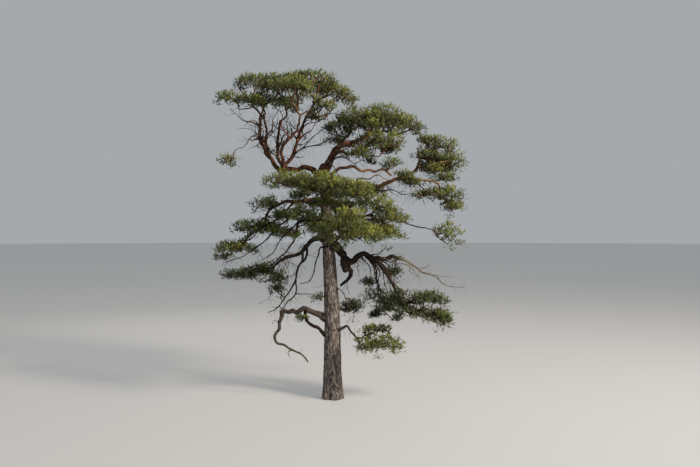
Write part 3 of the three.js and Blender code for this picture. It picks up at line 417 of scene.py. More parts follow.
# Small clumps of needles that the source leaves out, in the same way
CLUMPS = {
    "twin_clump": ("low", "twin_side_limb", [(-0.64, -0.05, 4.32, 0.34, 0.3, 0.26)]),
    "loop_clump": ("low", "loop_prop", [(-1.3, -0.15, 3.42, 0.2, 0.2, 0.2)]),
    "dropping_clump": ("low", "left_dropping_limb", [(-2.9, -0.6, 5.45, 0.28, 0.25, 0.18)]),
    "dark_bough_clump": ("low", "dark_right_bough", [(2.6, -0.35, 5.4, 0.32, 0.3, 0.26)]),
    "right_tip_clump": ("crest", "right_bough", [
        (3.72, -0.75, 10.35, 0.4, 0.4, 0.3), (4.0, -0.6, 10.95, 0.42, 0.4, 0.26)]),
    "right_bough_clump": ("crest", "right_bough", [
        (3.3, -0.9, 9.2, 0.45, 0.45, 0.25), (4.15, -0.75, 9.75, 0.5, 0.5, 0.3),
        (4.35, -0.75, 10.25, 0.5, 0.5, 0.3)]),
    "crest_inner_clump": ("crest", "crest_back_limb", [
        (0.1, 0.45, 11.1, 0.45, 0.4, 0.3), (-0.1, 0.3, 11.65, 0.4, 0.4, 0.25)]),
    "low_inner_clump": ("low", "inner_right_limb", [(1.55, 0.0, 4.95, 0.35, 0.35, 0.28)]),
    "inner_low_clump": ("low", "inner_right_limb", [
        (1.85, 0.1, 3.55, 0.3, 0.3, 0.17), (2.75, 0.1, 3.4, 0.3, 0.3, 0.17)]),
    "low_outer_clump": ("low", "lower_right_limb", [
        (2.75, -1.2, 4.5, 0.4, 0.4, 0.3), (3.6, -1.3, 4.35, 0.4, 0.4, 0.3)]),
    "left_tip_clump": ("middle", "left_bough", [(-4.6, -0.5, 6.05, 0.4, 0.4, 0.2)]),
    "dome_inner_clump": ("dome", "dome_inner_limb", [(-0.3, 0.5, 12.2, 0.34, 0.34, 0.22)]),
    "dome_outer_clump": ("dome", "dome_outer_limb", [(-0.75, -0.2, 11.98, 0.3, 0.3, 0.18)]),
    "dome_middle_clump": ("dome", "dome_middle_limb", [(-1.75, 0.2, 12.4, 0.34, 0.34, 0.2)]),
    "dome_crossing_clump": ("dome", "dome_crossing_limb", [
        (-2.25, -0.5, 12.4, 0.34, 0.34, 0.2)]),
    "dome_low_clump": ("dome", "dome_low_limb", [(-3.75, -0.5, 12.08, 0.3, 0.3, 0.16)]),
    "dome_fork_clump": ("dome", "dome_fork_limb", [(-2.1, -1.05, 12.2, 0.34, 0.34, 0.2)]),
    "dome_rim_clump": ("dome", "dome_rim_limb", [(0.25, 0.05, 12.15, 0.3, 0.3, 0.18)]),
    "crest_side_clump": ("crest", "crest_side_limb", [(2.4, -0.85, 10.55, 0.4, 0.4, 0.25)]),
    "crest_upper_clump": ("crest", "crest_upper_limb", [(1.7, -1.95, 11.4, 0.4, 0.35, 0.24)]),
    "crest_fork_clump": ("crest", "crest_fork_limb", [(1.55, -0.9, 10.05, 0.3, 0.3, 0.18)]),
    "right_lower_clump": ("crest", "right_lower_limb", [(3.7, -0.9, 8.65, 0.34, 0.34, 0.18)]),
    "low_left_clump": ("low", "dead_left_limb", [(-2.3, -0.6, 4.75, 0.4, 0.35, 0.28)]),
    "right_outer_clump": ("crest", "right_hanging_limb", [
        (4.75, -0.9, 9.35, 0.5, 0.45, 0.3), (4.15, -1.0, 8.75, 0.35, 0.35, 0.2)]),
    "right_upper_clump": ("crest", "right_upper_limb", [(3.0, -1.05, 9.5, 0.35, 0.3, 0.18)]),
    "lower_twin_clump": ("low", "lower_right_twin", [
        (2.5, -0.8, 4.25, 0.45, 0.4, 0.3), (3.0, -0.9, 4.1, 0.4, 0.35, 0.3)]),
    "back_high_clump": ("rear", "back_high_bough", [
        (-1.0, 1.3, 9.05, 0.65, 0.55, 0.32), (0.5, 1.6, 8.85, 0.65, 0.55, 0.32)]),
    "trunk_rear_clump": ("rear", "back_high_bough", [
        (-0.7, 1.15, 8.35, 0.6, 0.55, 0.3), (0.45, 1.3, 8.05, 0.55, 0.5, 0.3)]),
    "back_low_clump": ("rear", "back_low_bough", [
        (-0.9, 1.5, 7.25, 0.65, 0.6, 0.32), (0.95, 1.6, 7.05, 0.65, 0.6, 0.32)]),
    "low_tip_clump": ("low", "lower_right_tip", [(4.55, -1.25, 3.5, 0.4, 0.4, 0.3)]),
    "under_right_clump": ("middle", "right_bough", [(1.5, -0.75, 8.9, 0.5, 0.45, 0.28)]),
    "trunk_front_clump": ("middle", "front_high_bough", [
        (-0.35, -1.2, 8.35, 0.55, 0.45, 0.3), (0.45, -1.35, 8.2, 0.5, 0.45, 0.3),
        (-0.2, -1.1, 8.75, 0.5, 0.4, 0.26)]),
    "left_bough_clump": ("middle", "left_bough", [
        (-1.35, -0.65, 8.65, 0.5, 0.45, 0.26), (-2.1, -0.75, 7.8, 0.45, 0.4, 0.25)]),
}

# The growing rule, carried on to finer twigs
PATH_WEIGHT = 0.35            # how much a twig prefers to start near the stem's root
BARE_SHARE = 0.5              # needles' twigs start from the outer half of a bough
START_STEP = 0.22
ARM_STEP = 0.2                # length of one step of an arm, between its crooks
ARM_CROOK = 0.18              # of a step
SPRAYS_PER_SQUARE_METRE = 10.2
GAP_SIZE = 0.5                # size of the gaps between the pads of a cloud
GAP_LEVEL = -0.28             # noise below which there is a gap
THIN_HEIGHTS = (12.1, 13.1)   # between these the dome thins out downwards
THINNING = 0.5                # how much the gap level rises there
THIN_START = 11.0             # masses of the dome that hang below this stay as full
PAD_PAINTED_LIGHT = 0.16               # how much lighter a full pad's needles are, as painted light, and darker towards its gaps, as painted shade
SPRAY_INSET = 0.12            # how far in from a cloud's skin its outer sprays have their middles
LEAST_DEPTH = 0.6             # share of a cloud's half width that is always left for them
FLAT_TOP = 13.8               # no spray has its middle above this: the crown is flat-topped
INNER_DEPTH = 0.5             # share of the outer sprays' depth where the inner ones sit
RIM_SPREAD = (0.86, 1.12)     # how far out on a cloud's rim a spray stands, of its depth there
SPRAY_RADIUS = 0.27
SPRAY_SHARE = 0.7             # of the least half size of a cloud, for the sprays of small ones
SPRAY_FLATNESS = 0.6
SPRAY_HOLLOW = 0.1            # share of a spray's width, squared, that has no tufts
SPRAY_GLOW = 0.14             # how much a spray's painted light strays at random
ARM_SPRAY_SHARE = 0.6         # tufts of a spray on an arm, for each one of a spray in a cloud
ARM_SPRAY_SPREAD = 0.12
ARM_SPRAY_CLOUD = 0.4         # half size of the small cloud round it
TRUNK_CLEARANCE = 0.07
REACH_ROOM = 0.08             # metres past the solids where a tuft may still have its middle
MOST_JOINTS = 9000
TWIG_SWELL = 0.42             # power of the number of tufts that a twig carries
TRUNK_ARM_RADIUS = 0.05
ARM_RADIUS_SHARE = 0.9        # of the radius of its bough's tip
THICK_TWIG = 0.008            # from this radius on, twigs are round tubes
ROUND_TUBES = (5, 2)          # sides, and steps from joint to joint
FINE_TUBES = (3, 1)
FORK_LOAD = 8                 # tufts that a joint carries where a bare twig may stand on it
ARM_TWIG_RADIUS = 0.007       # of the bare twigs on arms
ARM_TWIG_LENGTHS = (0.2, 0.55)
GOLDEN_ANGLE = math.pi * (3 - math.sqrt(5))

# Tufts
AIM_ALONG_TWIG = 0.5          # a tuft aims along its twig, outwards and up, by these weights
AIM_OUTWARD = 0.3
AIM_UP = np.array([0, 0, 0.55])
AIM_SPREAD = 0.22
TUFT_SIZES = (0.8, 1.15)
LEAST_TWIG = 0.001            # keeps a twig of no length from dividing by zero
TOP_PAINTED_LIGHT = 0.62              # painted light: how much lighter a tuft is on the top of its cloud
SIDE_PAINTED_LIGHT = 0.3              # and on the side of the light, also painted
# the side from which the painted light falls
LIGHT_SIDE = np.array([0.75, -0.45, 0.0])
TUFT_GLOW = 0.1               # how much a tuft's painted light strays at random
NEEDLE_WOBBLE = 0.22          # radians, either way
NEEDLE_LENGTHS = (0.8, 1.15)  # of the length that is set
# Lit and shaded copies of one green: painted shade deep in the crown, painted light up to the lit tips
SHADES = ["needles_deep", "needles_shade", "needles_green", "needles_bright", "needles_tip"]
SHADE_FULLNESS = [0.7, 0.8, 0.94, 1, 1]  # tufts inside the crown and under it are thinner
PAINTED_SHADE_STEPS = [-0.28, 0.1, 0.45, 0.78]   # how much painted light a tuft has, where one painted shade ends

REGIONS = {
    # part of the crown: how far under a cloud its arm forks (share of the half height), sprays
    # for each metre of arm, bare twigs on the arms of each cloud, how they droop, inner sprays
    # for each outer one, how low sprays sit (share of the half height), and their painted light or
    # shade
    "dome": (1.35, 0.8, 22, -0.03, 0.1, -0.12, 0.0),
    "crest": (0.9, 1.6, 11, 0.02, 0.4, -0.45, -0.06),
    "middle": (0.7, 2.2, 10, 0.1, 0.3, -0.4, 0.11),
    "rear": (0.7, 2.2, 10, 0.1, 0.3, -0.4, 0.05),
    "low": (0.5, 2.2, 18, 0.16, 0.4, -0.5, -0.34),
}

# Bare twigs: their limbs, how many each has, their length, radius and droop, and between which
# shares of the limb they stand, where that isn't TWIG_STRETCH
BARE_TWIGS = [
    ("dark_left_bough", 8, 1.3, 0.02, 0.2, 0.25, 0.95),
    ("dark_left_bough", 18, 0.7, 0.012, 0.22),
    ("dead_left_limb dead_left_twin", 18, 0.6, 0.011, 0.2),
    ("left_dropping_limb", 16, 0.6, 0.01, 0.18),
    ("inner_dropping_limb", 10, 0.4, 0.009, 0.15),
    ("left_fan_limb", 20, 0.7, 0.011, 0.16, 0.15, 1.0),
    ("left_fan_twin", 22, 0.7, 0.011, 0.16, 0.15, 1.0),
    ("left_inner_fan", 16, 0.6, 0.01, 0.16, 0.15, 1.0),
    ("left_fine_limb", 10, 0.45, 0.008, 0.15),
    ("twin_side_limb", 10, 0.35, 0.007, 0.25),
    ("left_bough", 8, 1.2, 0.018, 0.12, 0.3, 1.0),
    ("left_bough", 12, 0.7, 0.011, 0.15, 0.3, 1.0),
    ("middle_left_bough", 10, 0.9, 0.014, 0.1, 0.3, 1.0),
    ("front_high_bough", 10, 0.8, 0.012, 0.05, 0.3, 1.0),
    ("back_high_bough", 16, 0.9, 0.013, 0.05, 0.25, 1.0),
    ("front_low_bough", 10, 0.8, 0.012, 0.05, 0.3, 1.0),
    ("back_low_bough", 18, 0.9, 0.013, 0.05, 0.25, 1.0),
    ("first_hanging_limb second_hanging_limb third_hanging_limb", 20, 0.55, 0.009, 0.24),
    ("dark_right_bough", 10, 1.1, 0.018, 0.2, 0.35, 1.0),
    ("dark_right_bough", 24, 0.7, 0.012, 0.2, 0.25, 1.0),
    ("hooked_stub", 9, 0.45, 0.01, 0.15),
    ("lower_right_limb", 22, 0.8, 0.013, 0.12, 0.1, 1.0),
    ("lower_right_tip", 16, 0.5, 0.009, 0.1, 0.1, 1.0),
    ("inner_right_limb", 14, 0.6, 0.011, 0.2, 0.1, 1.0),
    ("right_dropping_limb", 10, 0.5, 0.009, 0.2),
    ("middle_dropping_limb", 8, 0.4, 0.008, 0.2),
    ("dead_right_limb", 24, 0.6, 0.01, 0.06, 0.05, 1.0),
    ("dead_right_twist", 8, 0.4, 0.009, 0.08),
    ("dead_right_branch", 16, 0.5, 0.009, 0.1),
    ("dark_right_spur", 8, 0.4, 0.009, 0.0),
    ("loop_bough", 12, 0.55, 0.011, 0.05, 0.3, 1.0),
    ("loop_tail", 14, 0.45, 0.009, 0.1, 0.1, 1.0),
    ("loop_prop", 4, 0.4, 0.008, 0.05, 0.3, 0.8),
    ("trunk_right_twig", 8, 0.4, 0.008, 0.15),
    ("lowest_right_bough", 12, 0.7, 0.011, 0.1, 0.3, 1.0),
    ("far_right_limb", 14, 0.6, 0.009, 0.1),
    ("crossing_dead_limb", 16, 0.6, 0.01, -0.02, 0.1, 1.0),
    ("outer_left_limb", 12, 0.6, 0.01, 0.05, 0.1, 1.0),
    ("right_bough", 18, 0.9, 0.012, 0.12, 0.25, 0.9),
    ("right_bough", 8, 1.1, 0.016, 0.25, 0.3, 0.8),
    ("right_outer_limb", 14, 0.7, 0.011, 0.12),
    ("wavy_bough", 16, 0.7, 0.011, 0.02),
    ("middle_right_bough", 14, 0.9, 0.012, 0.1, 0.3, 1.0),
    ("crest_bough", 20, 0.9, 0.014, -0.02, 0.15, 0.95),
    ("crest_front_limb", 12, 0.8, 0.012, 0.02),
    ("crest_back_limb", 8, 0.7, 0.012, 0.02),
    ("high_left_bough", 10, 0.6, 0.011, 0.0, 0.2, 0.9),
    ("dome_left_bough dome_right_bough", 12, 1.1, 0.018, -0.08, 0.2, 0.95),
    ("dome_front_bough", 8, 0.9, 0.015, -0.08, 0.2, 0.95),
    ("dome_back_bough", 10, 1.0, 0.016, -0.08, 0.2, 0.95),
    ("dome_twin_bough", 8, 0.9, 0.014, -0.08, 0.2, 0.95),
    ("dome_left_bough", 6, 1.5, 0.03, -0.12, 0.35, 0.95),
    ("dome_right_bough", 7, 1.5, 0.03, -0.12, 0.3, 0.95),
    ("dome_front_bough", 6, 1.3, 0.028, -0.12, 0.3, 0.95),
    ("dome_back_bough", 6, 1.4, 0.028, -0.12, 0.3, 0.95),
    ("dome_twin_bough", 5, 1.3, 0.026, -0.12, 0.3, 0.95),
    ("dome_inner_limb dome_outer_limb dome_middle_limb "
     "dome_crossing_limb dome_low_limb dome_fork_limb", 8, 0.7, 0.012, -0.06),
    ("dome_rim_limb", 9, 0.7, 0.012, -0.06),
    ("right_upper_limb", 12, 0.6, 0.01, 0.05),
    ("right_lower_limb", 16, 0.6, 0.01, 0.15),
    ("right_hanging_limb", 12, 0.5, 0.009, 0.15),
    ("crest_side_limb", 12, 0.7, 0.011, 0.02),
    ("crest_fork_limb", 14, 0.5, 0.01, 0.04),
    ("crest_upper_limb", 10, 0.5, 0.01, 0.0),
    ("crest_lower_limb", 12, 0.5, 0.01, 0.05),
    ("crest_pale_twig", 14, 0.5, 0.01, -0.03),
    ("right_far_twig", 12, 0.45, 0.009, 0.15),
    ("lower_right_twin", 20, 0.7, 0.011, 0.16, 0.1, 1.0),
    ("lower_right_fan", 18, 0.6, 0.01, 0.12, 0.1, 1.0),
]

# Limbs whose bare twigs are dead and pale
PALE_TWIG_LIMBS = [
    "dead_right_limb", "dead_right_twist", "dead_right_branch", "far_right_limb",
    "crossing_dead_limb", "outer_left_limb", "right_bough", "wavy_bough", "crest_pale_twig",
    "right_far_twig",
]

# Growth of bare twigs
TWIG_STRETCH = (0.2, 1.0)
TWIG_LENGTHS = (0.5, 1.3)     # of the length that the table gives
TWIG_LEAN = 0.5               # how much they lean along their limb
TWIG_FORKS = 2
TWIG_STEP = 0.085
TWIG_CROOK = 0.26
TWIG_TAPER = 0.75             # share of its radius that a twig loses to its tip
FORK_SPREAD = 0.7             # how far a fork turns aside
FORK_LENGTHS = (0.35, 0.6)    # of the twig that it leaves
FORK_RADIUS = 0.75            # of the twig's there
TRUNK_TWIGS = 22
TRUNK_TWIG_HEIGHTS = (3.6, 8.6)
TRUNK_TWIG_LENGTHS = (0.3, 0.9)
TRUNK_TWIG_RADIUS = 0.01
TRUNK_TWIG_DROOP = 0.06
TRUNK_TWIG_RISE = 0.1         # upwards, for each metre outwards, where they start
TRUNK_TWIG_ROOT = 0.9         # in the bark, in radii of the trunk
TWIG_SEED = 41

# Bark
LUMP_GAIN = 1.8               # brings smooth noise to about -1 and 1
BARK_WANDER = 0.3             # how far cracks stray from straight ones, in plate widths
WANDER_SIZE = 1.4             # in plate widths, over which they do
FINE_CRACK = 0.45             # depth of a crack between scales, for one between plates of 1
SCALE_SIZE = 0.45             # of a scale, in plate widths
SCALE_CRACK_WIDTH = 0.25
PLATE_SIZE = 0.8              # of the patches of one tone, in plate widths
PLATE_TONE = 0.35             # how much they differ
SPECKLE_SIZE = 0.03           # of the small light and dark spots on a plate
SPECKLE_TONE = 0.25
BARK_SHINE = 0.25
SCALE_STRETCH = (1, 1, 0.42)  # scales are longer than wide
SEAM_DARKNESS = 0.55          # of the seams between scales
CRACK_DARKNESS = 0.88
SCALE_STEP = 0.7              # how unevenly high the scales stand
SCALE_RELIEF = 0.007
BARK_CHANGE = (8.8, 11.2)     # heights between which the trunk's grey bark gives way to thin bark
BARK_CHANGE_RAGGEDNESS = 2.4  # metres, added to the height

# Skin of the boughs
SEEDS_APART = 11              # no two boughs of a kind share a seed
RING_STEP = 0.032
SIDE_STEP = 0.019
LIMB_SIDES = (12, 48)
UNUSUAL_WAY = (0.3, 1, 0.2)   # no bough starts out along this
HEADING_STRETCH = 0.02        # share of a bough's length either way that gives its heading
LIMB_CROOK = 0.85             # how far a bough strays from its smooth route, in radii
CROOK_LENGTH = 0.33
STRAIGHT_FOOT = 0.4           # length at a bough's foot in which its crooks set in
STRAIGHT_TIP = 0.3
COLLAR = 0.5                  # how much a bough swells where it leaves what carries it
COLLAR_LENGTH = 1.5           # in radii of its foot
STOUT_FOOT = 0.13             # thinner limbs swell less there
STOUT_SKIN = 0.05             # thinner limbs have shallower bark
LUMP_LENGTH = 0.2             # of the broad lumps on a bough
TIP_ARC = math.pi / 2 * np.array([0.3, 0.6, 0.85, 0.98])   # rings that round off a tip

# Camera, from the photograph's frame: level, at half the tree's height
CAMERA_PLACE = (0.7525, -29.264, 7.0735)
LENS_MM = 35
SENSOR_MM = 36
SIGHT = 2000                  # metres, past the floor's far rim

# Stage
FLOOR_RADIUS = 500.0
FLOOR_SIDES = 96
FLOOR_COLOUR = "#d9d7d2"
SKY_COLOUR = "#dfe6ee"
SKY_STRENGTH = 0.62
LIGHT_TARGET = (0, 0, 7)
LIGHTS = {
    # lamp: place, size, power in watts and colour
    "Key light": ((27, -17, 25), 7, 31000, "#fff0da"),
    "Fill light": ((-24, -18, 14), 16, 700, "#dfe9f7"),
    "Back light": ((-10, 26, 22), 14, 2500, "#f4f1ea"),
}


# Colours and nodes

def linear(hex_colour):
    """The linear red, green, blue and alpha of an sRGB colour written in hex."""
    parts = [int(hex_colour[i:i + 2], 16) / 255 for i in (1, 3, 5)]
    return [c / 12.92 if c <= 0.04045 else ((c + 0.055) / 1.055) ** 2.4 for c in parts] + [1.0]


def add_node(tree, kind, inputs=None, **settings):
    """Adds a node with its settings, then links or sets its inputs by name or number."""
    node = tree.nodes.new(kind)
    for name, value in settings.items():
        setattr(node, name, value)
    for socket, value in (inputs or {}).items():
        if isinstance(value, bpy.types.NodeSocket):
            tree.links.new(value, node.inputs[socket])
        else:
            node.inputs[socket].default_value = value
    return node


def new_material(name):
    """An empty node material with its shader and output joined."""
    material = bpy.data.materials.new(name)
    material.use_nodes = True
    tree = material.node_tree
    tree.nodes.clear()
    shader = add_node(tree, "ShaderNodeBsdfPrincipled")
    add_node(tree, "ShaderNodeOutputMaterial", {"Surface": shader.outputs["BSDF"]})
    return material, tree, shader


def plain_material(name, values):
    """A material with constant values on its shader's own sockets."""
    material, _, shader = new_material(name)
    for socket, value in values.items():
        shader.inputs[socket].default_value = value
    return material


def maths(tree, operation, *values):
    """The result of one sum, each of its values a link or a number."""
    node = add_node(tree, "ShaderNodeMath", dict(enumerate(values)), operation=operation)
    return node.outputs[0]


def mixed(tree, share, first, second):
    """A colour between two, each a link or a hex colour."""
    first = linear(first) if isinstance(first, str) else first
    second = linear(second) if isinstance(second, str) else second
    node = add_node(tree, "ShaderNodeMix", {0: share, 6: first, 7: second}, data_type="RGBA")
    return node.outputs[2]


def stepped(tree, value, low, high):
    """Zero below one value, one above another, and smooth between."""
    node = add_node(tree, "ShaderNodeMapRange", {"Value": value, "From Min": low, "From Max": high},
                    interpolation_type="SMOOTHSTEP")
    return node.outputs["Result"]


def noise_at(tree, size_mm, stretch=(1, 1, 1), detail=3.0):
    """Noise whose lumps are about that many millimetres, stretched along an axis."""
    place = add_node(tree, "ShaderNodeTexCoord").outputs["Object"]
    scaled = add_node(tree, "ShaderNodeMapping", {"Vector": place, "Scale": stretch})
    node = add_node(tree, "ShaderNodeTexNoise", {"Vector": scaled.outputs["Vector"],
                    "Scale": 1000 / size_mm, "Detail": detail, "Roughness": 0.6})
    return node.outputs["Fac"]


# Shapes of the trunk and its limbs

def scattered(a, b, c, seed):
    """A number between -1 and 1 for each cell, by weights that leave no pattern, always the same."""
    mixed_up = np.sin(a * 127.1 + b * 311.7 + c * 191.3 + seed * 74.7) * 43758.5453
    return 2 * (mixed_up - np.floor(mixed_up)) - 1


def unit(vector):
    """The same way, one long."""
    return vector / np.linalg.norm(vector)


def smooth(share):
    """Zero below 0, one above 1, and an even bend between."""
    share = np.clip(share, 0, 1)
    return share * share * (3 - 2 * share)


def lumps(points, size, seed):
    """Smooth noise, mostly between -1 and 1, with lumps of about that size."""
    scaled = points / size
    cell = np.floor(scaled)
    blend = smooth(scaled - cell)
    total = np.zeros(len(points))
    for corner in np.ndindex(2, 2, 2):
        weight = np.prod(np.where(corner, blend, 1 - blend), axis=1)
        at = (cell + corner).T
        slope = np.stack([scattered(*at, seed + axis) for axis in (0.1, 0.2, 0.3)], axis=1)
        total += weight * np.sum(slope * (scaled - cell - corner), axis=1)
    return LUMP_GAIN * total


def bark_cracks(spot, width, length, crack_width, seed):
    """How deep in a crack each point lies, from 0 to 1, and the tone of the plate round it.

    Cracks run where two kinds of lumps, drawn out along the limb, change sign. The broad ones
    part the plates, and the fine ones part each plate's scales.
    """
    stretched = spot * [1, 1, width / length]
    wander = np.stack([lumps(spot, WANDER_SIZE * width, seed + axis) for axis in (1, 2, 3)], axis=1)
    stretched = stretched + BARK_WANDER * width * wander
    broad = np.abs(lumps(stretched, width, seed + 4))
    fine = np.abs(lumps(stretched * [1, 1, 2], SCALE_SIZE * width, seed + 5))
    crack = np.maximum(1 - smooth(broad / crack_width),
                       FINE_CRACK * (1 - smooth(fine / SCALE_CRACK_WIDTH)))
    plates = PLATE_TONE * lumps(stretched, PLATE_SIZE * width, seed + 6)
    tone = 0.5 + plates + SPECKLE_TONE * lumps(spot, SPECKLE_SIZE, seed + 7)
    return crack, np.clip(tone, 0, 1)


def trunk_middle(height):
    """Middle of the trunk at a height: it leans more and more to the left above its lean's start."""
    leaned = np.maximum(0, height - LEAN_START) / (TRUNK_HEIGHT - LEAN_START)
    return np.stack([-LEAN * leaned ** LEAN_POWER, LEAN_BACK * height / TRUNK_HEIGHT,
                     height + 0 * leaned], axis=-1)


def trunk_radius(height, angle):
    """Radius of the trunk with its taper, its root flare and its buttresses."""
    share = np.minimum(1, height / TRUNK_HEIGHT) ** TRUNK_TAPER
    flare = np.exp(-height / FLARE_HEIGHT)
    taper = TRUNK_FOOT_RADIUS + (TRUNK_FORK_RADIUS - TRUNK_FOOT_RADIUS) * share
    return taper + FLARE * flare + BUTTRESS_DEPTH * flare * np.cos(BUTTRESSES * angle)


def smooth_route(bends, samples=16):
    """Points along a smooth curve through the bends, as the source's limbs follow."""
    bends = np.array(bends, float)
    ends = np.vstack([2 * bends[0] - bends[1], bends, 2 * bends[-1] - bends[-2]])
    strides = np.linalg.norm(np.diff(ends, axis=0), axis=1) ** 0.5
    t = np.linspace(0, 1, samples, endpoint=False)[:, None]
    route = []
    for i in range(len(bends) - 1):
        before, start, finish, after = ends[i:i + 4]
        a, b, c = strides[i:i + 3]
        leaving = b * ((start - before) / a - (finish - before) / (a + b) + (finish - start) / b)
        arriving = b * ((finish - start) / b - (after - start) / (b + c) + (after - finish) / c)
        route.append((2 * t ** 3 - 3 * t ** 2 + 1) * start + (t ** 3 - 2 * t ** 2 + t) * leaving
                     + (3 * t ** 2 - 2 * t ** 3) * finish + (t ** 3 - t ** 2) * arriving)
    return np.vstack(route + [bends[-1:]])


class Limb:
    """One bough: a smooth route, and a radius that tapers along it. Shares are of its length."""

    def __init__(self, name, carrier, start, foot, tip, bark, bends):
        self.name, self.bark, self.foot, self.tip = name, bark, foot, tip
        if carrier == "trunk":
            origin = trunk_middle(np.array(start))
            self.buried = float(trunk_radius(start, 0))
        else:
            origin = limbs[carrier].point(start)
            self.buried = limbs[carrier].radius(start)
        self.route = smooth_route([origin] + list(bends))
        strides = np.linalg.norm(np.diff(self.route, axis=0), axis=1)
        self.along = np.concatenate([[0], np.cumsum(strides)])
        self.length = self.along[-1]

    def point(self, share):
        return np.stack([np.interp(np.asarray(share) * self.length, self.along, axis)
                         for axis in self.route.T], axis=-1)

    def radius(self, share):
        return self.foot + (self.tip - self.foot) * share ** LIMB_TAPER

    def heading(self, share):
        before, after = max(0, share - HEADING_STRETCH), min(1, share + HEADING_STRETCH)
        return unit(self.point(after) - self.point(before))


limbs = {}
for limb_name, limb_row in {**BOUGHS, **SIDE_LIMBS}.items():
    limbs[limb_name] = Limb(limb_name, *limb_row)


def ring_directions(route):
    """Two directions square to the route at each point, that turn as little as they can."""
    tangents = np.gradient(route, axis=0)
    tangents /= np.linalg.norm(tangents, axis=1, keepdims=True)
    across = [np.cross(tangents[0], UNUSUAL_WAY)]
    for tangent in tangents:
        across.append(unit(across[-1] - tangent * np.dot(across[-1], tangent)))
    across = np.array(across[1:])
    return across, np.cross(tangents, across)


def tube_faces(rings, sides, first):
    """Faces of a closed tube whose rings are followed by its foot's and tip's middle points."""
    ring, side = np.meshgrid(np.arange(rings - 1), np.arange(sides), indexing="ij")
    here = first + ring * sides + side
    beside = first + ring * sides + (side + 1) % sides
    quads = np.stack([here, beside, beside + sides, here + sides], axis=-1).reshape(-1, 4)
    foot, tip = first + rings * sides, first + rings * sides + 1
    last = first + (rings - 1) * sides
    loop = np.arange(sides)
    after = (loop + 1) % sides
    foot_fan = np.stack([np.full(sides, foot), first + after, first + loop], axis=-1)
    tip_fan = np.stack([np.full(sides, tip), last + loop, last + after], axis=-1)
    return quads.tolist() + foot_fan.tolist() + tip_fan.tolist()


class Surface:
    """Vertices, faces and bark values of the tubes that make up one piece."""

    def __init__(self):
        self.vertices, self.faces, self.cracks, self.plates = [], [], [], []
        self.count = 0

    def add_tube(self, middle, directions, radii, crack, plate):
        """middle is one point a ring; radii, crack and plate are one value for each vertex."""
        across, around = directions
        rings, sides = radii.shape
        angle = 2 * math.pi * np.arange(sides) / sides
        out = np.cos(angle)[:, None] * across[:, None] + np.sin(angle)[:, None] * around[:, None]
        skin = (middle[:, None] + out * radii[..., None]).reshape(-1, 3)
        self.vertices.append(np.vstack([skin, middle[:1], middle[-1:]]))
        for store, value in ((self.cracks, crack), (self.plates, plate)):
            store.append(np.append(value.ravel(), [0, 0]))
        self.faces += tube_faces(rings, sides, self.count)
        self.count += rings * sides + 2

    def piece(self, name, material):
        """One object of all the tubes, with its bark values for the material."""
        mesh = bpy.data.meshes.new(name)
        mesh.from_pydata(np.vstack(self.vertices).tolist(), [], self.faces)
        for attribute, values in (("crack", self.cracks), ("plate", self.plates)):
            layer = mesh.attributes.new(attribute, "FLOAT", "POINT")
            layer.data.foreach_set("value", np.concatenate(values).astype(np.float32))
        mesh.shade_smooth()
        mesh.materials.append(material)
        return new_piece(name, mesh)


def new_piece(name, mesh):
    """An object with that mesh, at the origin and in the scene."""
    piece = bpy.data.objects.new(name, mesh)
    bpy.context.scene.collection.objects.link(piece)
    return piece


# Geometry Nodes

def new_node_group(name, sockets):
    """A geometry tree with its named inputs, as (name, kind, default)."""
    tree = bpy.data.node_groups.new(name, "GeometryNodeTree")
    tree.interface.new_socket("Geometry", in_out="INPUT", socket_type="NodeSocketGeometry")
    for label, kind, default in sockets:
        socket = tree.interface.new_socket(label, in_out="INPUT", socket_type="NodeSocket" + kind)
        if default is not None:
            socket.default_value = default
    tree.interface.new_socket("Geometry", in_out="OUTPUT", socket_type="NodeSocketGeometry")
    return tree, tree.nodes.new("NodeGroupInput").outputs


def finish_node_group(tree, geometry, material):
    """Ends a tree in realized instances with their material."""
    real = add_node(tree, "GeometryNodeRealizeInstances", {"Geometry": geometry})
    painted = add_node(tree, "GeometryNodeSetMaterial",
                       {"Geometry": real.outputs[0], "Material": material})
    add_node(tree, "NodeGroupOutput", {"Geometry": painted.outputs[0]})
    return tree


def random_value(tree, least, most, seed):
    """A number between two for each point, always the same for the same seed."""
    node = add_node(tree, "FunctionNodeRandomValue",
                    {"Min": least, "Max": most, "Seed": seed}, data_type="FLOAT")
    return node.outputs[1]


def twig_tree():
    """Turns lines of points into round twigs of the thickness that the points give."""
    tree, given = new_node_group("Twigs along lines", [
        ("Sides", "Int", 3), ("Steps", "Int", 1), ("Material", "Material", None)])
    line = add_node(tree, "GeometryNodeMeshToCurve", {"Mesh": given["Geometry"]})
    smooth_line = add_node(tree, "GeometryNodeCurveSplineType", {"Curve": line.outputs[0]},
                           spline_type="CATMULL_ROM")
    curve = add_node(tree, "GeometryNodeSetSplineResolution",
                     {"Geometry": smooth_line.outputs[0], "Resolution": given["Steps"]})
    radius = add_node(tree, "GeometryNodeInputNamedAttribute", {"Name": "radius_m"},
                      data_type="FLOAT")
    section = add_node(tree, "GeometryNodeCurvePrimitiveCircle",
                       {"Resolution": given["Sides"], "Radius": 1.0})
    tube = add_node(tree, "GeometryNodeCurveToMesh", {
        "Curve": curve.outputs[0], "Profile Curve": section.outputs[0],
        "Scale": radius.outputs[0], "Fill Caps": True})
    shaded = add_node(tree, "GeometryNodeSetShadeSmooth", {"Geometry": tube.outputs[0]})
    return finish_node_group(tree, shaded.outputs[0], given["Material"])


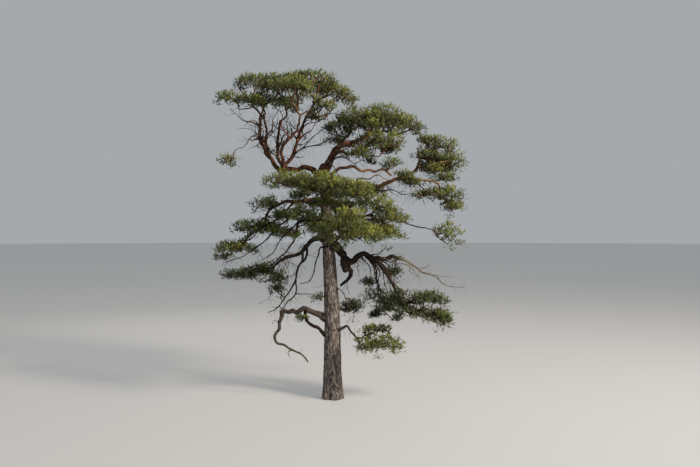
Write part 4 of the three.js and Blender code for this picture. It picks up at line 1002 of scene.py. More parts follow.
def tuft_tree():
    """Sets a tuft of needles on each point: they stand round a short shoot, closing at its tip."""
    tree, given = new_node_group("Tufts of needles", [
        ("Needle", "Object", None), ("Needles", "Int", 54), ("Shoot length", "Float", 0.1),
        ("Root angle", "Float", 1.2), ("Tip angle", "Float", 0.35), ("Seed", "Int", 1),
        ("Material", "Material", None)])
    index = tree.nodes.new("GeometryNodeInputIndex").outputs[0]
    share = maths(tree, "DIVIDE", index, given["Needles"])
    stride = maths(tree, "DIVIDE", given["Shoot length"], given["Needles"])
    upward = add_node(tree, "ShaderNodeCombineXYZ", {"Z": stride})
    shoot = add_node(tree, "GeometryNodeMeshLine",
                     {"Count": given["Needles"], "Offset": upward.outputs[0]})
    tilt = add_node(tree, "ShaderNodeMapRange", {
        "Value": share, "To Min": given["Root angle"], "To Max": given["Tip angle"]})
    wobble = random_value(tree, -NEEDLE_WOBBLE, NEEDLE_WOBBLE, given["Seed"])
    leaning = maths(tree, "ADD", tilt.outputs["Result"], wobble)
    golden = maths(tree, "MULTIPLY", index, GOLDEN_ANGLE)
    angles = add_node(tree, "ShaderNodeCombineXYZ", {"X": leaning, "Z": golden})
    turned = add_node(tree, "FunctionNodeEulerToRotation", {"Euler": angles.outputs[0]})
    length = random_value(tree, *NEEDLE_LENGTHS, given["Seed"])
    needle = add_node(tree, "GeometryNodeObjectInfo", {"Object": given["Needle"]})
    tuft = add_node(tree, "GeometryNodeInstanceOnPoints", {
        "Points": shoot.outputs[0], "Instance": needle.outputs["Geometry"],
        "Rotation": turned.outputs[0], "Scale": length})
    aim = add_node(tree, "GeometryNodeInputNamedAttribute", {"Name": "aim"},
                   data_type="FLOAT_VECTOR")
    upright = add_node(tree, "FunctionNodeAlignRotationToVector", {"Vector": aim.outputs[0]},
                       axis="Z")
    spin = random_value(tree, 0.0, math.tau, given["Seed"])
    spinning = add_node(tree, "FunctionNodeAxisAngleToRotation",
                        {"Axis": (0, 0, 1), "Angle": spin})
    placed = add_node(tree, "FunctionNodeRotateRotation", {
        "Rotation": upright.outputs[0], "Rotate By": spinning.outputs[0]}, rotation_space="LOCAL")
    size = add_node(tree, "GeometryNodeInputNamedAttribute", {"Name": "size"},
                    data_type="FLOAT")
    tufts = add_node(tree, "GeometryNodeInstanceOnPoints", {
        "Points": given["Geometry"], "Instance": tuft.outputs[0],
        "Rotation": placed.outputs[0], "Scale": size.outputs[0]})
    return finish_node_group(tree, tufts.outputs[0], given["Material"])


def grown_piece(name, tree, points, edges, attributes, inputs):
    """Runs a geometry tree on points or lines, and keeps the result as a plain mesh."""
    mesh = bpy.data.meshes.new(name)
    mesh.from_pydata(points.tolist(), edges, [])
    for label, values in attributes.items():
        kind = "FLOAT_VECTOR" if values.ndim == 2 else "FLOAT"
        layer = mesh.attributes.new(label, kind, "POINT")
        layer.data.foreach_set("vector" if values.ndim == 2 else "value",
                               values.astype(np.float32).ravel())
    seedling = new_piece(name + "_lines", mesh)
    modifier = seedling.modifiers.new("Growth", "NODES")
    modifier.node_group = tree
    for item in tree.interface.items_tree:
        if item.in_out == "INPUT" and item.name in inputs:
            modifier[item.identifier] = inputs[item.name]
    depsgraph = bpy.context.evaluated_depsgraph_get()
    result = bpy.data.meshes.new_from_object(seedling.evaluated_get(depsgraph))
    result.name = name
    bpy.data.objects.remove(seedling)
    return new_piece(name, result)


# Growth of twigs and needles

class Mass:
    """The joints of one mass's twigs, and its tufts, each with its place, aim, size and painted light.

    Each new joint hangs on the one with the shortest way to the root.
    """

    def __init__(self, region, carrier, random):
        self.region, self.random = region, random
        if carrier == "trunk":
            starts = [trunk_middle(np.array(TRUNK_NEEDLES_HEIGHT))]
            self.stoutest = TRUNK_ARM_RADIUS
        else:
            limb = limbs[carrier]
            count = max(2, round(limb.length * (1 - BARE_SHARE) / START_STEP))
            starts = limb.point(np.linspace(BARE_SHARE, 1, count))
            self.stoutest = limb.tip * ARM_RADIUS_SHARE
        self.place = np.zeros((MOST_JOINTS, 3))
        self.way = np.zeros(MOST_JOINTS)
        self.parent = np.full(MOST_JOINTS, -1)
        self.has_tuft = np.zeros(MOST_JOINTS)
        self.count = len(starts)
        self.place[:self.count] = starts
        self.tufts = []

    def add(self, place, parent):
        """Adds a joint that hangs on another."""
        new = self.count
        self.place[new] = place
        self.parent[new] = parent
        self.way[new] = self.way[parent] + np.linalg.norm(place - self.place[parent])
        self.count += 1
        return new

    def grow(self, target):
        """Reaches a target by short crooked steps, and returns its joint."""
        gaps = np.linalg.norm(self.place[:self.count] - target, axis=1)
        joint = int(np.argmin(gaps + PATH_WEIGHT * self.way[:self.count]))
        start = self.place[joint].copy()
        steps = max(1, round(gaps[joint] / ARM_STEP))
        for step in range(1, steps):
            crook = self.random.normal(0, ARM_CROOK * ARM_STEP, 3)
            joint = self.add(start + (target - start) * step / steps + crook, joint)
        return self.add(target, joint)

    def loads(self):
        """How many tufts hang on each joint."""
        load = self.has_tuft[:self.count].copy()
        for joint in range(self.count - 1, -1, -1):
            if self.parent[joint] >= 0:
                load[self.parent[joint]] += load[joint]
        return load

    def lines(self, tip_radius):
        """Lines of joints from thick to thin, each with its radii."""
        load = self.loads()
        radius = np.minimum(self.stoutest, tip_radius * np.maximum(load, 1) ** TWIG_SWELL)
        heir = np.full(self.count, -1)
        for joint in range(self.count):
            parent = self.parent[joint]
            if parent >= 0 and load[joint] and (heir[parent] < 0 or load[joint] > load[heir[parent]]):
                heir[parent] = joint
        for joint in range(self.count):
            parent = self.parent[joint]
            if parent < 0 or not load[joint]:
                continue
            if heir[parent] == joint and self.parent[parent] >= 0:
                continue
            line = [parent, joint]
            while heir[line[-1]] >= 0:
                line.append(heir[line[-1]])
            radii = radius[line]
            radii[0] = radii[1]
            yield self.place[line], radii


def spray_places(cloud, depth, count, lowest, random):
    """Even places over a cloud's top and rim, few of them underneath."""
    index = np.arange(count)
    height = 1 - (1 - lowest) * (index + 0.5) / max(count, 1)
    turn = index * GOLDEN_ANGLE + random.uniform(0, 2 * math.pi)
    reach = np.sqrt(1 - height ** 2)
    rim = np.stack([np.cos(turn) * reach, np.sin(turn) * reach, height], axis=1)
    rim *= depth * random.uniform(*RIM_SPREAD, (count, 1))
    return cloud[:3] + rim * cloud[3:]


def within_reach(point):
    """Whether a tuft may stand there: the dressed tree keeps to the reach of the solids."""
    return (point > REACH[0] - REACH_ROOM).all() and (point < REACH[1] + REACH_ROOM).all()


def clear_of_trunk(point):
    """Whether a tuft may stand there without growing into the trunk."""
    middle = trunk_middle(np.array(min(point[2], TRUNK_HEIGHT)))
    return np.hypot(*(point - middle)[:2]) > trunk_radius(point[2], 0) + TRUNK_CLEARANCE


def grow_spray(mass, spray, radius, count, cloud):
    """Grows one spray: a twig to its middle, then one to each of its tufts, near ones first."""
    # tone is the region's painted light or painted shade
    random, tone = mass.random, REGIONS[mass.region][-1]
    fullness = float(lumps(spray[None], GAP_SIZE, seed=2)[0])
    low, high = THIN_HEIGHTS
    is_thin = mass.region == "dome" and spray[2] > THIN_START
    gap_level = GAP_LEVEL + is_thin * THINNING * (1 - smooth((spray[2] - low) / (high - low)))
    if fullness < gap_level or not clear_of_trunk(spray):
        return
    mass.grow(spray)
    # Painted light of the spray: its region's painted light or shade, more where its pad is full, less
    # towards the gaps, and a random stray
    spray_painted_light = tone + PAD_PAINTED_LIGHT * fullness + random.normal(0, SPRAY_GLOW)
    spread = random.normal(0, 1, (count, 3))
    spread *= (random.uniform(SPRAY_HOLLOW, 1, (count, 1)) ** 0.5
               / np.linalg.norm(spread, axis=1, keepdims=True))
    spread *= radius * np.array([1, 1, SPRAY_FLATNESS])
    for offset in spread[np.argsort(np.linalg.norm(spread, axis=1))]:
        place = spray + offset
        if not (clear_of_trunk(place) and within_reach(place)):
            continue
        joint = mass.grow(place)
        mass.has_tuft[joint] = 1
        twig = place - mass.place[mass.parent[joint]]
        out = (place - cloud[:3]) / cloud[3:]
        aim = (AIM_ALONG_TWIG * twig / (np.linalg.norm(twig) + LEAST_TWIG) + AIM_OUTWARD * out
               + AIM_UP + random.normal(0, AIM_SPREAD, 3))
        # Painted light: lighter on the cloud's top and on the light's side, darker underneath and away
        # from it as painted shade
        light = TOP_PAINTED_LIGHT * out[2] + SIDE_PAINTED_LIGHT * LIGHT_SIDE @ out + spray_painted_light + random.normal(0, TUFT_GLOW)
        mass.tufts.append((place, unit(aim), random.uniform(*TUFT_SIZES), light))


def grow_mass(region, carrier, clouds, per_spray, random):
    """Grows one mass: arms to its clouds, twigs from them to their sprays, and bare twigs on both."""
    fork_drop, arm_sprays, bare_twigs, droop, inner_share, lowest, _ = REGIONS[region]
    mass = Mass(region, carrier, random)
    for cloud in map(np.array, clouds):
        fork = cloud[:3] - (0, 0, fork_drop * cloud[5])
        before = mass.count
        mass.grow(fork)
        arm = mass.place[before:mass.count].copy()
        radius = min(SPRAY_RADIUS, SPRAY_SHARE * cloud[3:].min() / SPRAY_FLATNESS)
        inner = cloud.copy()
        inner[3:] = np.maximum(cloud[3:] - SPRAY_INSET, LEAST_DEPTH * cloud[3:])
        outer = round(2 + SPRAYS_PER_SQUARE_METRE * math.pi * cloud[3] * cloud[4])
        sprays = np.vstack([
            spray_places(inner, 1, outer, lowest, random),
            spray_places(inner, INNER_DEPTH, round(outer * inner_share), lowest, random)])
        sprays[:, 2] = np.minimum(sprays[:, 2], FLAT_TOP)
        nearness = np.linalg.norm(sprays - fork, axis=1)
        for spray in sprays[np.argsort(nearness)]:
            grow_spray(mass, spray, radius, per_spray, cloud)
        beside = random.permutation(len(arm))[:round(arm_sprays * ARM_STEP * len(arm))]
        for joint in beside:
            spray = arm[joint] + random.normal(0, ARM_SPRAY_SPREAD, 3)
            near = np.append(spray, [ARM_SPRAY_CLOUD] * 3)
            grow_spray(mass, spray, radius, round(per_spray * ARM_SPRAY_SHARE), near)
    stout = np.flatnonzero((mass.loads() >= FORK_LOAD) & (mass.parent[:mass.count] >= 0))
    bare = []
    for joint in random.choice(stout, min(len(stout), bare_twigs * len(clouds)), replace=False):
        side = unit(random.normal(0, 1, 3))
        length = random.uniform(*ARM_TWIG_LENGTHS)
        bare += bare_twig(mass.place[joint], side, length, ARM_TWIG_RADIUS, droop, random, 1)
    return mass, bare


def bare_twig(start, heading, length, radius, droop, random, forks):
    """A crooked bare twig and the shorter ones that fork from it, as lines with their radii."""
    steps = max(3, round(length / TWIG_STEP))
    points, headings = [start], [heading]
    for _ in range(steps):
        headings.append(unit(headings[-1] + random.normal(0, TWIG_CROOK, 3) - (0, 0, droop)))
        points.append(np.clip(points[-1] + headings[-1] * length / steps, *REACH))
    radii = radius * (1 - TWIG_TAPER * np.linspace(0, 1, steps + 1))
    found = [(np.array(points), radii)]
    for _ in range(forks):
        at = random.integers(1, steps)
        sideways = unit(headings[at] + random.normal(0, FORK_SPREAD, 3))
        found += bare_twig(points[at], sideways, length * random.uniform(*FORK_LENGTHS),
                           radii[at] * FORK_RADIUS, droop, random, forks - 1)
    return found


def twig_piece(name, tree, lines, sides, steps, material):
    """One piece of many round twigs, from their lines and radii."""
    points = np.vstack([line for line, _ in lines])
    radii = np.concatenate([radius for _, radius in lines])
    ends = np.cumsum([len(line) for line, _ in lines]) - 1
    starts = np.arange(len(points) - 1)
    starts = starts[~np.isin(starts, ends)]
    edges = np.stack([starts, starts + 1], axis=1).tolist()
    return grown_piece(name, tree, points, edges, {"radius_m": radii},
                       {"Sides": sides, "Steps": steps, "Material": material})


# Sizes and colours that a user may change

class PineSizes(bpy.types.PropertyGroup):
    """Sizes of the bark, the twigs and the needles."""

    plate_length: bpy.props.FloatProperty(
        name="Plate length", description="Length of a bark plate on the lower trunk",
        default=0.44, min=0.05, max=2.0, unit="LENGTH")
    plate_width: bpy.props.FloatProperty(
        name="Plate width", description="Width of a bark plate on the lower trunk",
        default=0.125, min=0.03, max=0.5, unit="LENGTH")
    crack_depth: bpy.props.FloatProperty(
        name="Crack depth", description="Depth of the cracks at the trunk's foot",
        default=0.03, min=0.0, max=0.06, unit="LENGTH")
    twig_radius: bpy.props.FloatProperty(
        name="Twig radius", description="Radius of a twig that carries one tuft",
        default=0.0036, min=0.001, max=0.02, unit="LENGTH")
    needle_length: bpy.props.FloatProperty(
        name="Needle length", description="Length of a needle, somewhat larger than life",
        default=0.083, min=0.02, max=0.2, unit="LENGTH")
    needle_width: bpy.props.FloatProperty(
        name="Needle width", description="Width of a needle at its root, larger than life",
        default=0.0094, min=0.001, max=0.03, unit="LENGTH")
    shoot_length: bpy.props.FloatProperty(
        name="Shoot length", description="Length of the shoot that a tuft's needles stand round",
        default=0.08, min=0.02, max=0.3, unit="LENGTH")
    needles: bpy.props.IntProperty(
        name="Needles", description="Needles in one tuft", default=35, min=6, max=120)
    tufts: bpy.props.IntProperty(
        name="Tufts", description="Tufts in one spray", default=19, min=1, max=40)


def colour_property(name, hex_colour):
    """A colour that a user may change, with its default in hex."""
    return bpy.props.FloatVectorProperty(
        name=name, description=name + ", as a linear colour", subtype="COLOR", size=4,
        min=0.0, max=1.0, default=linear(hex_colour))


class PineColours(bpy.types.PropertyGroup):
    """Colours of the needles, one green in painted shade and painted light: from the shaded ones
    inside the crown to the lit tips.
    """

    needles_deep: colour_property("Deep needles", "#2c3922")
    needles_shade: colour_property("Shaded needles", "#3f4f27")
    needles_green: colour_property("Green needles", "#566630")
    needles_bright: colour_property("Bright needles", "#6f7c3a")
    needles_tip: colour_property("Lit tips", "#8b9446")


# Materials

def bark_shader(name, plates, tints, crack_colour, scale_mm, roughness):
    """Bark of two plate colours with two more worn over them, in scales with dark cracks between.

    The broad cracks come with the mesh, and the scales' fine edges are made here.
    """
    material, tree, shader = new_material(name)
    crack = add_node(tree, "ShaderNodeAttribute", attribute_name="crack").outputs["Fac"]
    plate = add_node(tree, "ShaderNodeAttribute", attribute_name="plate").outputs["Fac"]
    # Scales: cells with bent edges
    place = add_node(tree, "ShaderNodeTexCoord").outputs["Object"]
    flat = add_node(tree, "ShaderNodeMapping", {"Vector": place, "Scale": SCALE_STRETCH})
    warp = add_node(tree, "ShaderNodeTexNoise",
                    {"Vector": flat.outputs[0], "Scale": 1400 / scale_mm, "Detail": 3.0})
    bent = add_node(tree, "ShaderNodeVectorMath", {
        0: warp.outputs["Color"], 1: (0.9 * scale_mm / 1000,) * 3, 2: flat.outputs[0]},
        operation="MULTIPLY_ADD")
    cells = {"Vector": bent.outputs[0], "Scale": 1000 / scale_mm, "Randomness": 1.0}
    scale = add_node(tree, "ShaderNodeTexVoronoi", cells)
    tone = add_node(tree, "ShaderNodeSeparateColor", {"Color": scale.outputs["Color"]})
    rim = add_node(tree, "ShaderNodeTexVoronoi", cells, feature="DISTANCE_TO_EDGE")
    edge = stepped(tree, rim.outputs["Distance"], 0.0, 0.16)
    # Plates of two colours, then worn patches and odd scales of the other two
    base = mixed(tree, stepped(tree, plate, 0.15, 0.85), *plates)
    base = mixed(tree, stepped(tree, noise_at(tree, 140, (1, 1, 0.45)), 0.48, 0.68), base, tints[0])
    base = mixed(tree, stepped(tree, tone.outputs[0], 0.55, 1.0), base, tints[1])
    base = mixed(tree, stepped(tree, tone.outputs[1], 0.6, 1.1), base, tints[0])
    # Cracks from the mesh, and seams round the scales
    seam = maths(tree, "MULTIPLY", maths(tree, "SUBTRACT", 1.0, edge), SEAM_DARKNESS)
    deep = maths(tree, "MULTIPLY", maths(tree, "MAXIMUM", crack, seam), CRACK_DARKNESS)
    colour = mixed(tree, deep, base, crack_colour)
    # Scales that stand up unevenly, with a fine grain on them
    height = maths(tree, "ADD", noise_at(tree, 12, (1, 1, 0.5), 4.0), edge)
    height = maths(tree, "MULTIPLY_ADD", tone.outputs[2], SCALE_STEP, height)
    bump = add_node(tree, "ShaderNodeBump",
                    {"Height": height, "Strength": 0.7, "Distance": SCALE_RELIEF})
    tree.links.new(colour, shader.inputs["Base Color"])
    tree.links.new(bump.outputs["Normal"], shader.inputs["Normal"])
    shader.inputs["Roughness"].default_value = roughness
    shader.inputs["Specular IOR Level"].default_value = BARK_SHINE
    return material, tree, shader, colour


def trunk_bark_material():
    """Scots pine bark: thick grey plates with pale faces low down, thin and red-brown above."""
    material, tree, shader, low = bark_shader(
        "Pine bark, thick grey plates", ("#524e4c", "#6d6763"), ("#8b847d", "#454146"),
        "#1e1b1f", 50, 0.93)
    place = add_node(tree, "ShaderNodeTexCoord").outputs["Object"]
    height = add_node(tree, "ShaderNodeSeparateXYZ", {"Vector": place}).outputs["Z"]
    ragged = maths(tree, "MULTIPLY_ADD", noise_at(tree, 350), BARK_CHANGE_RAGGEDNESS, height)
    warm = mixed(tree, stepped(tree, noise_at(tree, 90, (1, 1, 0.5)), 0.4, 0.65),
                 "#573f36", "#785748")
    colour = mixed(tree, stepped(tree, ragged, *BARK_CHANGE), low, warm)
    tree.links.new(colour, shader.inputs["Base Color"])
    return material


def upper_bark_material():
    """Upper Scots pine bark: thin, papery, flaking, orange-red with pale worn edges."""
    return bark_shader("Pine bark, thin orange flakes", ("#4c362c", "#674639"),
                       ("#855a46", "#342620"), "#211713", 38, 0.9)[0]


def dome_bark_material():
    """Bark of the high boughs against the sky: brown-red, thin, and dark in its cracks."""
    return bark_shader("Pine bark, thin brown flakes", ("#46302a", "#634236"),
                       ("#80573f", "#2f2421"), "#1c1513", 34, 0.9)[0]


def dark_bark_material():
    """Bark of the shaded low boughs: dark brown, scaly and dry, and darker still as painted shade from
    the crown.
    """
    return bark_shader("Pine bark, dark scales", ("#1f1817", "#2e2623"),
                       ("#3f3530", "#181313"), "#0e0b0b", 36, 0.95)[0]


def lower_bark_material():
    """Bark of the middle boughs: grey-brown and scaly, as on the trunk they stand on."""
    return bark_shader("Pine bark, grey scales", ("#4b403b", "#63564c"),
                       ("#7a6a5a", "#38302d"), "#201a18", 38, 0.93)[0]


def dead_wood_material():
    """Wood of dead limbs, barkless and weathered silver grey, with a fine grain."""
    return bark_shader("Weathered dead wood", ("#5e5b58", "#7c7975"),
                       ("#97948f", "#443f3c"), "#292524", 24, 0.88)[0]


def tan_bark_material():
    """Half-bare wood of the long middle boughs: pinkish tan, with scraps of bark left on it."""
    return bark_shader("Pine limb, half barkless", ("#7a5a46", "#96725a"),
                       ("#a88a70", "#573d31"), "#3a2a22", 34, 0.87)[0]


def grey_bark_material():
    """Bark of the lowest crooked boughs: weathered grey over brown, pale where it is worn."""
    return bark_shader("Pine bark, weathered grey", ("#423d3b", "#56504d"),
                       ("#6b655f", "#36312f"), "#1b1716", 26, 0.94)[0]


def twig_material(name, hex_colour, roughness):
    """Thin bark of fine twigs: one plain colour, for a pattern would be lost at their size."""
    return plain_material(name, {"Base Color": linear(hex_colour), "Roughness": roughness,
                                 "Specular IOR Level": BARK_SHINE})


def needle_material(shade, colour):
    """Pine needles: waxy, with a soft sheen."""
    return plain_material("Pine " + shade.replace("_", " "), {
        "Base Color": colour, "Roughness": 0.55, "Specular IOR Level": 0.3,
        "Sheen Weight": 0.12, "Sheen Roughness": 0.5})


# Operators

def dress(piece, slot, nodes):
    """Ties a finished piece to the frame."""
    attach(piece, "root")
    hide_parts(*nodes)


class PINE_OT_trunk(bpy.types.Operator):
    """Builds the trunk with its root flare, its bark plates and the cracks between them."""

    bl_idname = "pine.trunk"
    bl_label = "Trunk"

    def execute(self, context):
        sizes = context.scene.pine_sizes
        height = np.linspace(0, TRUNK_HEIGHT, TRUNK_RINGS)
        angle = 2 * math.pi * np.arange(TRUNK_SIDES) / TRUNK_SIDES
        ring_height, ring_angle = np.meshgrid(height, angle, indexing="ij")
        flat_height, flat_angle = ring_height.ravel(), ring_angle.ravel()
        base = trunk_radius(flat_height, flat_angle)
        out = np.stack([np.cos(flat_angle), np.sin(flat_angle), 0 * flat_angle], axis=1)
        spot = out * base[:, None] + [[0, 0, 1]] * flat_height[:, None]
        unrolled = out * TRUNK_FOOT_RADIUS + [[0, 0, 1]] * flat_height[:, None]
        crack, plate = bark_cracks(unrolled, sizes.plate_width, sizes.plate_length,
                                   TRUNK_CRACK_WIDTH, seed=5)
        coarse = 1 - FINER_BARK * smooth(flat_height / TRUNK_HEIGHT)
        flute = np.exp(-((flat_angle - FLUTE_ANGLE) / FLUTE_WIDTH) ** 2
                       - flat_height / FLUTE_HEIGHT)
        relief = (-sizes.crack_depth * coarse * crack + PLATE_RELIEF * coarse * (plate - 0.5)
                  + GRAIN[1] * lumps(spot, GRAIN[0], seed=8) + DENTS[1] * lumps(spot, DENTS[0], seed=9)
                  - FLUTE_DEPTH * flute)
        # Painted shade: the groove takes the cracks' dark colour
        crack = np.maximum(crack, FLUTE_PAINTED_SHADE * flute)
        rounded, closing = FORK_ROUNDING
        top = smooth((flat_height - TRUNK_HEIGHT + rounded) / rounded)
        radii = ((base + relief) * (1 - closing * top)).reshape(ring_height.shape)
        level = [np.tile(way, (TRUNK_RINGS, 1)) for way in ([1.0, 0, 0], [0, 1.0, 0])]
        surface = Surface()
        surface.add_tube(trunk_middle(height), level, radii, crack, plate)
        dress(surface.piece("trunk_bark", trunk_bark_material()), "lower_bark", ["trunk"])
        return {"FINISHED"}


BARKS = {
    # bark: piece, material, slot, plate width and length, how much noise a crack takes up, its depth,
    # and the lumps' height as a share of the radius
    "upper": ("upper_boughs", upper_bark_material, "upper_bark", 0.07, 0.16, 0.3, 0.006, 0.14),
    "dome": ("dome_boughs", dome_bark_material, "dark_bark", 0.06, 0.14, 0.3, 0.006, 0.15),
    "lower": ("middle_boughs", lower_bark_material, "lower_bark", 0.07, 0.16, 0.35, 0.008, 0.14),
    "dark": ("dark_boughs", dark_bark_material, "dark_bark", 0.06, 0.14, 0.35, 0.008, 0.16),
    "tan": ("tan_boughs", tan_bark_material, "upper_bark", 0.05, 0.2, 0.25, 0.004, 0.12),
    "grey": ("loop_boughs", grey_bark_material, "dark_bark", 0.06, 0.2, 0.35, 0.008, 0.14),
    "dead": ("dead_limbs", dead_wood_material, "deadwood", 0.025, 0.3, 0.25, 0.003, 0.12),
}


def add_limb(surface, limb, plate_width, plate_length, crack_width, depth, lumpiness, seed):
    """Adds one bough to a piece: crooked, swollen at its foot, rounded at its tip."""
    rings = round(limb.length / RING_STEP)
    share = np.linspace(0, 1, rings)
    along = share * limb.length
    middle = limb.point(share)
    free = smooth(along / STRAIGHT_FOOT) * smooth((limb.length - along) / STRAIGHT_TIP)
    radius = limb.radius(share)
    crooks = np.stack([lumps(middle, CROOK_LENGTH, seed + axis) for axis in range(3)], axis=1)
    middle = middle + crooks * (free * radius * LIMB_CROOK)[:, None]
    past = np.maximum(0, along - limb.buried)
    collar = COLLAR * min(1, limb.foot / STOUT_FOOT)
    radius = radius * (1 + collar * np.exp(-past / (COLLAR_LENGTH * limb.foot)))
    bow = np.sin(TIP_ARC) * radius[-1]
    middle = np.vstack([middle, middle[-1] + np.outer(bow, limb.heading(1))])
    along = np.append(along, limb.length + bow)
    radius = np.append(radius, np.cos(TIP_ARC) * radius[-1])
    sides = int(np.clip(round(2 * math.pi * limb.foot / SIDE_STEP), *LIMB_SIDES))
    turn, distance = np.meshgrid(np.arange(sides) / sides, along)
    turn, distance = turn.ravel(), distance.ravel()
    base = np.repeat(radius, sides)
    angle = 2 * math.pi * turn
    spot = np.stack([np.cos(angle) * limb.foot, np.sin(angle) * limb.foot, distance], axis=1)
    crack, plate = bark_cracks(spot + seed, plate_width, plate_length, crack_width, seed)
    thin = np.minimum(1, base / STOUT_SKIN)
    relief = (thin * depth * (0.5 * plate - crack)
              + base * lumpiness * lumps(spot + seed, LUMP_LENGTH, seed + 5))
    radii = (base + relief).reshape(len(middle), sides)
    surface.add_tube(middle, ring_directions(middle), radii, crack, plate)


class PINE_OT_boughs(bpy.types.Operator):
    """Builds the boughs and limbs, each kind of bark as one piece."""

    bl_idname = "pine.boughs"
    bl_label = "Boughs"

    def execute(self, context):
        for bark, (name, material, slot, *numbers) in BARKS.items():
            surface = Surface()
            members = [limb for limb in limbs.values() if limb.bark == bark]
            for seed, limb in enumerate(members):
                add_limb(surface, limb, *numbers, SEEDS_APART * seed + 1)
            in_source = [limb.name for limb in members if limb.name in BOUGHS]
            dress(surface.piece(name, material()), slot, in_source)
        return {"FINISHED"}


def limb_twigs(random):
    """The dark and the pale bare twigs on the boughs and limbs."""
    dark, pale = [], []
    for names, count, length, radius, droop, *stretch in BARE_TWIGS:
        for name in names.split():
            limb = limbs[name]
            found = pale if name in PALE_TWIG_LIMBS else dark
            for _ in range(count):
                share = random.uniform(*(stretch or TWIG_STRETCH))
                side = unit(random.normal(0, 1, 3) + TWIG_LEAN * limb.heading(share))
                reach = length * random.uniform(*TWIG_LENGTHS)
                found += bare_twig(limb.point(share), side, reach, radius, droop, random, TWIG_FORKS)
    return dark, pale


def trunk_twigs(random):
    """The short bare twigs that stick out of the trunk."""
    found = []
    for _ in range(TRUNK_TWIGS):
        height = random.uniform(*TRUNK_TWIG_HEIGHTS)
        angle = random.uniform(0, 2 * math.pi)
        out = np.array([math.cos(angle), math.sin(angle), TRUNK_TWIG_RISE])
        start = trunk_middle(np.array(height)) + out * trunk_radius(height, angle) * TRUNK_TWIG_ROOT
        reach = random.uniform(*TRUNK_TWIG_LENGTHS)
        found += bare_twig(start, unit(out), reach, TRUNK_TWIG_RADIUS, TRUNK_TWIG_DROOP, random,
                           TWIG_FORKS)
    return found


class PINE_OT_bare_twigs(bpy.types.Operator):
    """Grows the bare and dead twigs that stand and hang from the boughs and the trunk."""

    bl_idname = "pine.bare_twigs"
    bl_label = "Bare twigs"

    def execute(self, context):
        random = np.random.default_rng(TWIG_SEED)
        dark, pale = limb_twigs(random)
        dark += trunk_twigs(random)
        owners = [name for row in BARE_TWIGS for name in row[0].split() if name in BOUGHS]
        tree = twig_tree()
        bark = twig_material("Twig bark, dark", "#33291f", 0.9)
        piece = twig_piece("dark_bare_twigs", tree, dark, *FINE_TUBES, bark)
        dress(piece, "dark_bark", [name for name in owners if name not in PALE_TWIG_LIMBS])
        wood = twig_material("Dead twig wood", "#7d746a", 0.88)
        piece = twig_piece("pale_dead_twigs", tree, pale, *FINE_TUBES, wood)
        dress(piece, "deadwood", [name for name in owners if name in PALE_TWIG_LIMBS])
        return {"FINISHED"}


TWIG_BARKS = {
    # part of the crown: slot, then its material, colour and roughness
    "dome": ("dark_bark", "Twig bark, brown", "#4a382c", 0.88),
    "crest": ("upper_bark", "Twig bark, red-brown", "#553c2d", 0.88),
    "middle": ("upper_bark", "Twig bark, grey-brown", "#43362c", 0.9),
    "rear": ("upper_bark", "Twig bark, dull brown", "#40342b", 0.9),
    "low": ("dark_bark", "Twig bark, blackish", "#2e2621", 0.92),
}


def needle_object(length, width):
    """One needle, rooted at the origin and pointing up: a slim blade that ends in a point."""
    mesh = bpy.data.meshes.new("needle")
    half = width / 2
    mesh.from_pydata([(-half, 0, 0), (half, 0, 0), (0, 0, length)], [], [(0, 1, 2)])
    return new_piece("needle", mesh)


class PINE_OT_foliage(bpy.types.Operator):
    """Grows the masses: twigs by the source's rule, and tufts of needles at their tips."""

    bl_idname = "pine.foliage"
    bl_label = "Twigs and needles"

    def execute(self, context):
        sizes, colours = context.scene.pine_sizes, context.scene.pine_colours
        tufts = {region: [] for region in REGIONS}
        lines = {region: [] for region in REGIONS}
        for seed, (region, carrier, clouds) in enumerate({**MASSES, **CLUMPS}.values()):
            random = np.random.default_rng(seed + 1)
            mass, bare = grow_mass(region, carrier, clouds, sizes.tufts, random)
            tufts[region] += mass.tufts
            lines[region] += [*mass.lines(sizes.twig_radius), *bare]
        twigs, tuft = twig_tree(), tuft_tree()
        needle = needle_object(sizes.needle_length, sizes.needle_width)
        # The needle material in lit and shaded copies of one green, for painted light and painted
        # shade
        shades = [needle_material(shade, getattr(colours, shade)) for shade in SHADES]
        for number, region in enumerate(REGIONS):
            nodes = [name for name, row in MASSES.items() if row[0] == region]
            slot, *look = TWIG_BARKS[region]
            bark = twig_material(*look)
            for kind, tubes, is_thick in (("arms", ROUND_TUBES, True), ("twigs", FINE_TUBES, False)):
                chosen = [line for line in lines[region] if (line[1][0] > THICK_TWIG) == is_thick]
                dress(twig_piece(f"{region}_{kind}", twigs, chosen, *tubes, bark), slot, nodes)
            place, aim, size, light = map(np.array, zip(*tufts[region]))
            # Each tuft takes the lit or shaded copy whose step its painted light falls in
            shade = np.digitize(light, PAINTED_SHADE_STEPS)
            for index, material in enumerate(shades):
                mine = shade == index
                piece = grown_piece(
                    f"{region}_{SHADES[index]}", tuft, place[mine], [],
                    {"aim": aim[mine], "size": size[mine]},
                    {"Needle": needle, "Needles": round(sizes.needles * SHADE_FULLNESS[index]),
                     "Shoot length": sizes.shoot_length, "Seed": 10 * number + index,
                     "Material": material})
                dress(piece, "needles", nodes)
        bpy.data.objects.remove(needle)
        return {"FINISHED"}


def area_light(name, place, size, power, colour):
    """A soft square lamp that faces the middle of the tree."""
    lamp = bpy.data.lights.new(name, "AREA")
    lamp.shape = "SQUARE"
    lamp.size = size
    lamp.energy = power
    lamp.color = linear(colour)[:3]
    holder = bpy.data.objects.new(name, lamp)
    bpy.context.scene.collection.objects.link(holder)
    holder.location = place
    aim = Vector(LIGHT_TARGET) - Vector(place)
    holder.rotation_euler = aim.to_track_quat("-Z", "Y").to_euler()


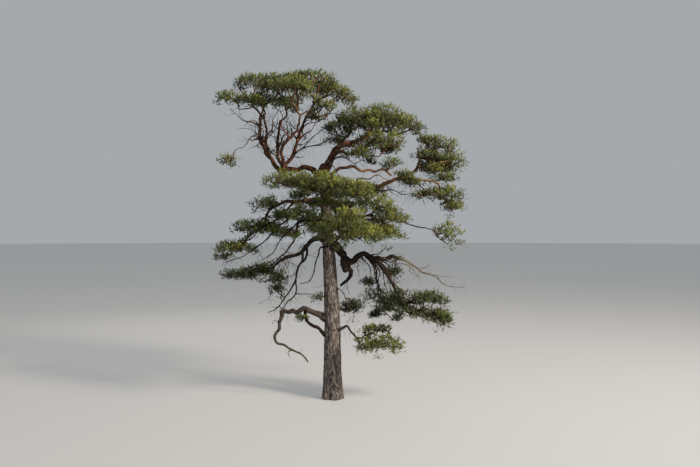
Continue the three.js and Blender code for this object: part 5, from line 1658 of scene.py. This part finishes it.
class PINE_OT_stage(bpy.types.Operator):
    """Sets the pale floor, the soft light and the camera."""

    bl_idname = "pine.stage"
    bl_label = "Stage"

    def execute(self, context):
        mesh = bpy.data.meshes.new("floor")
        turns = [math.tau * side / FLOOR_SIDES for side in range(FLOOR_SIDES)]
        rim = [(FLOOR_RADIUS * math.cos(turn), FLOOR_RADIUS * math.sin(turn), 0) for turn in turns]
        mesh.from_pydata(rim, [], [tuple(range(FLOOR_SIDES))])
        floor = new_piece("floor", mesh)
        mesh.materials.append(plain_material("Pale matt floor", {
            "Base Color": linear(FLOOR_COLOUR), "Roughness": 0.9}))
        world = bpy.data.worlds.new("Pale studio")
        world.use_nodes = True
        backdrop = world.node_tree.nodes["Background"]
        backdrop.inputs["Color"].default_value = linear(SKY_COLOUR)
        backdrop.inputs["Strength"].default_value = SKY_STRENGTH
        context.scene.world = world
        for name, lamp in LIGHTS.items():
            area_light(name, *lamp)
        camera = bpy.data.cameras.new("Camera")
        camera.lens = LENS_MM
        camera.sensor_width = SENSOR_MM
        camera.clip_end = SIGHT
        holder = bpy.data.objects.new("Camera", camera)
        context.scene.collection.objects.link(holder)
        holder.location = CAMERA_PLACE
        holder.rotation_euler = (math.pi / 2, 0, 0)
        context.scene.camera = holder
        return {"FINISHED"}


class PINE_PT_panel(bpy.types.Panel):
    """Lists the pine's sizes, colours and building steps."""

    bl_idname = "PINE_PT_panel"
    bl_label = "Scots Pine"
    bl_space_type = "VIEW_3D"
    bl_region_type = "UI"
    bl_category = "Pine"

    def draw(self, context):
        for group in (context.scene.pine_sizes, context.scene.pine_colours):
            box = self.layout.box()
            for name in group.bl_rna.properties.keys():
                if name not in ("rna_type", "name"):
                    box.prop(group, name)
        for operator in OPERATORS:
            self.layout.operator(operator.bl_idname)


OPERATORS = [PINE_OT_stage, PINE_OT_trunk, PINE_OT_boughs, PINE_OT_bare_twigs, PINE_OT_foliage]
CLASSES = [PineSizes, PineColours, *OPERATORS, PINE_PT_panel]


def register():
    for item in CLASSES:
        bpy.utils.register_class(item)
    bpy.types.Scene.pine_sizes = bpy.props.PointerProperty(type=PineSizes)
    bpy.types.Scene.pine_colours = bpy.props.PointerProperty(type=PineColours)


def unregister():
    del bpy.types.Scene.pine_colours
    del bpy.types.Scene.pine_sizes
    for item in reversed(CLASSES):
        bpy.utils.unregister_class(item)


def main():
    register()
    bpy.ops.pine.stage()
    bpy.ops.pine.trunk()
    bpy.ops.pine.boughs()
    bpy.ops.pine.bare_twigs()
    bpy.ops.pine.foliage()


if __name__ == "__main__":
    main()
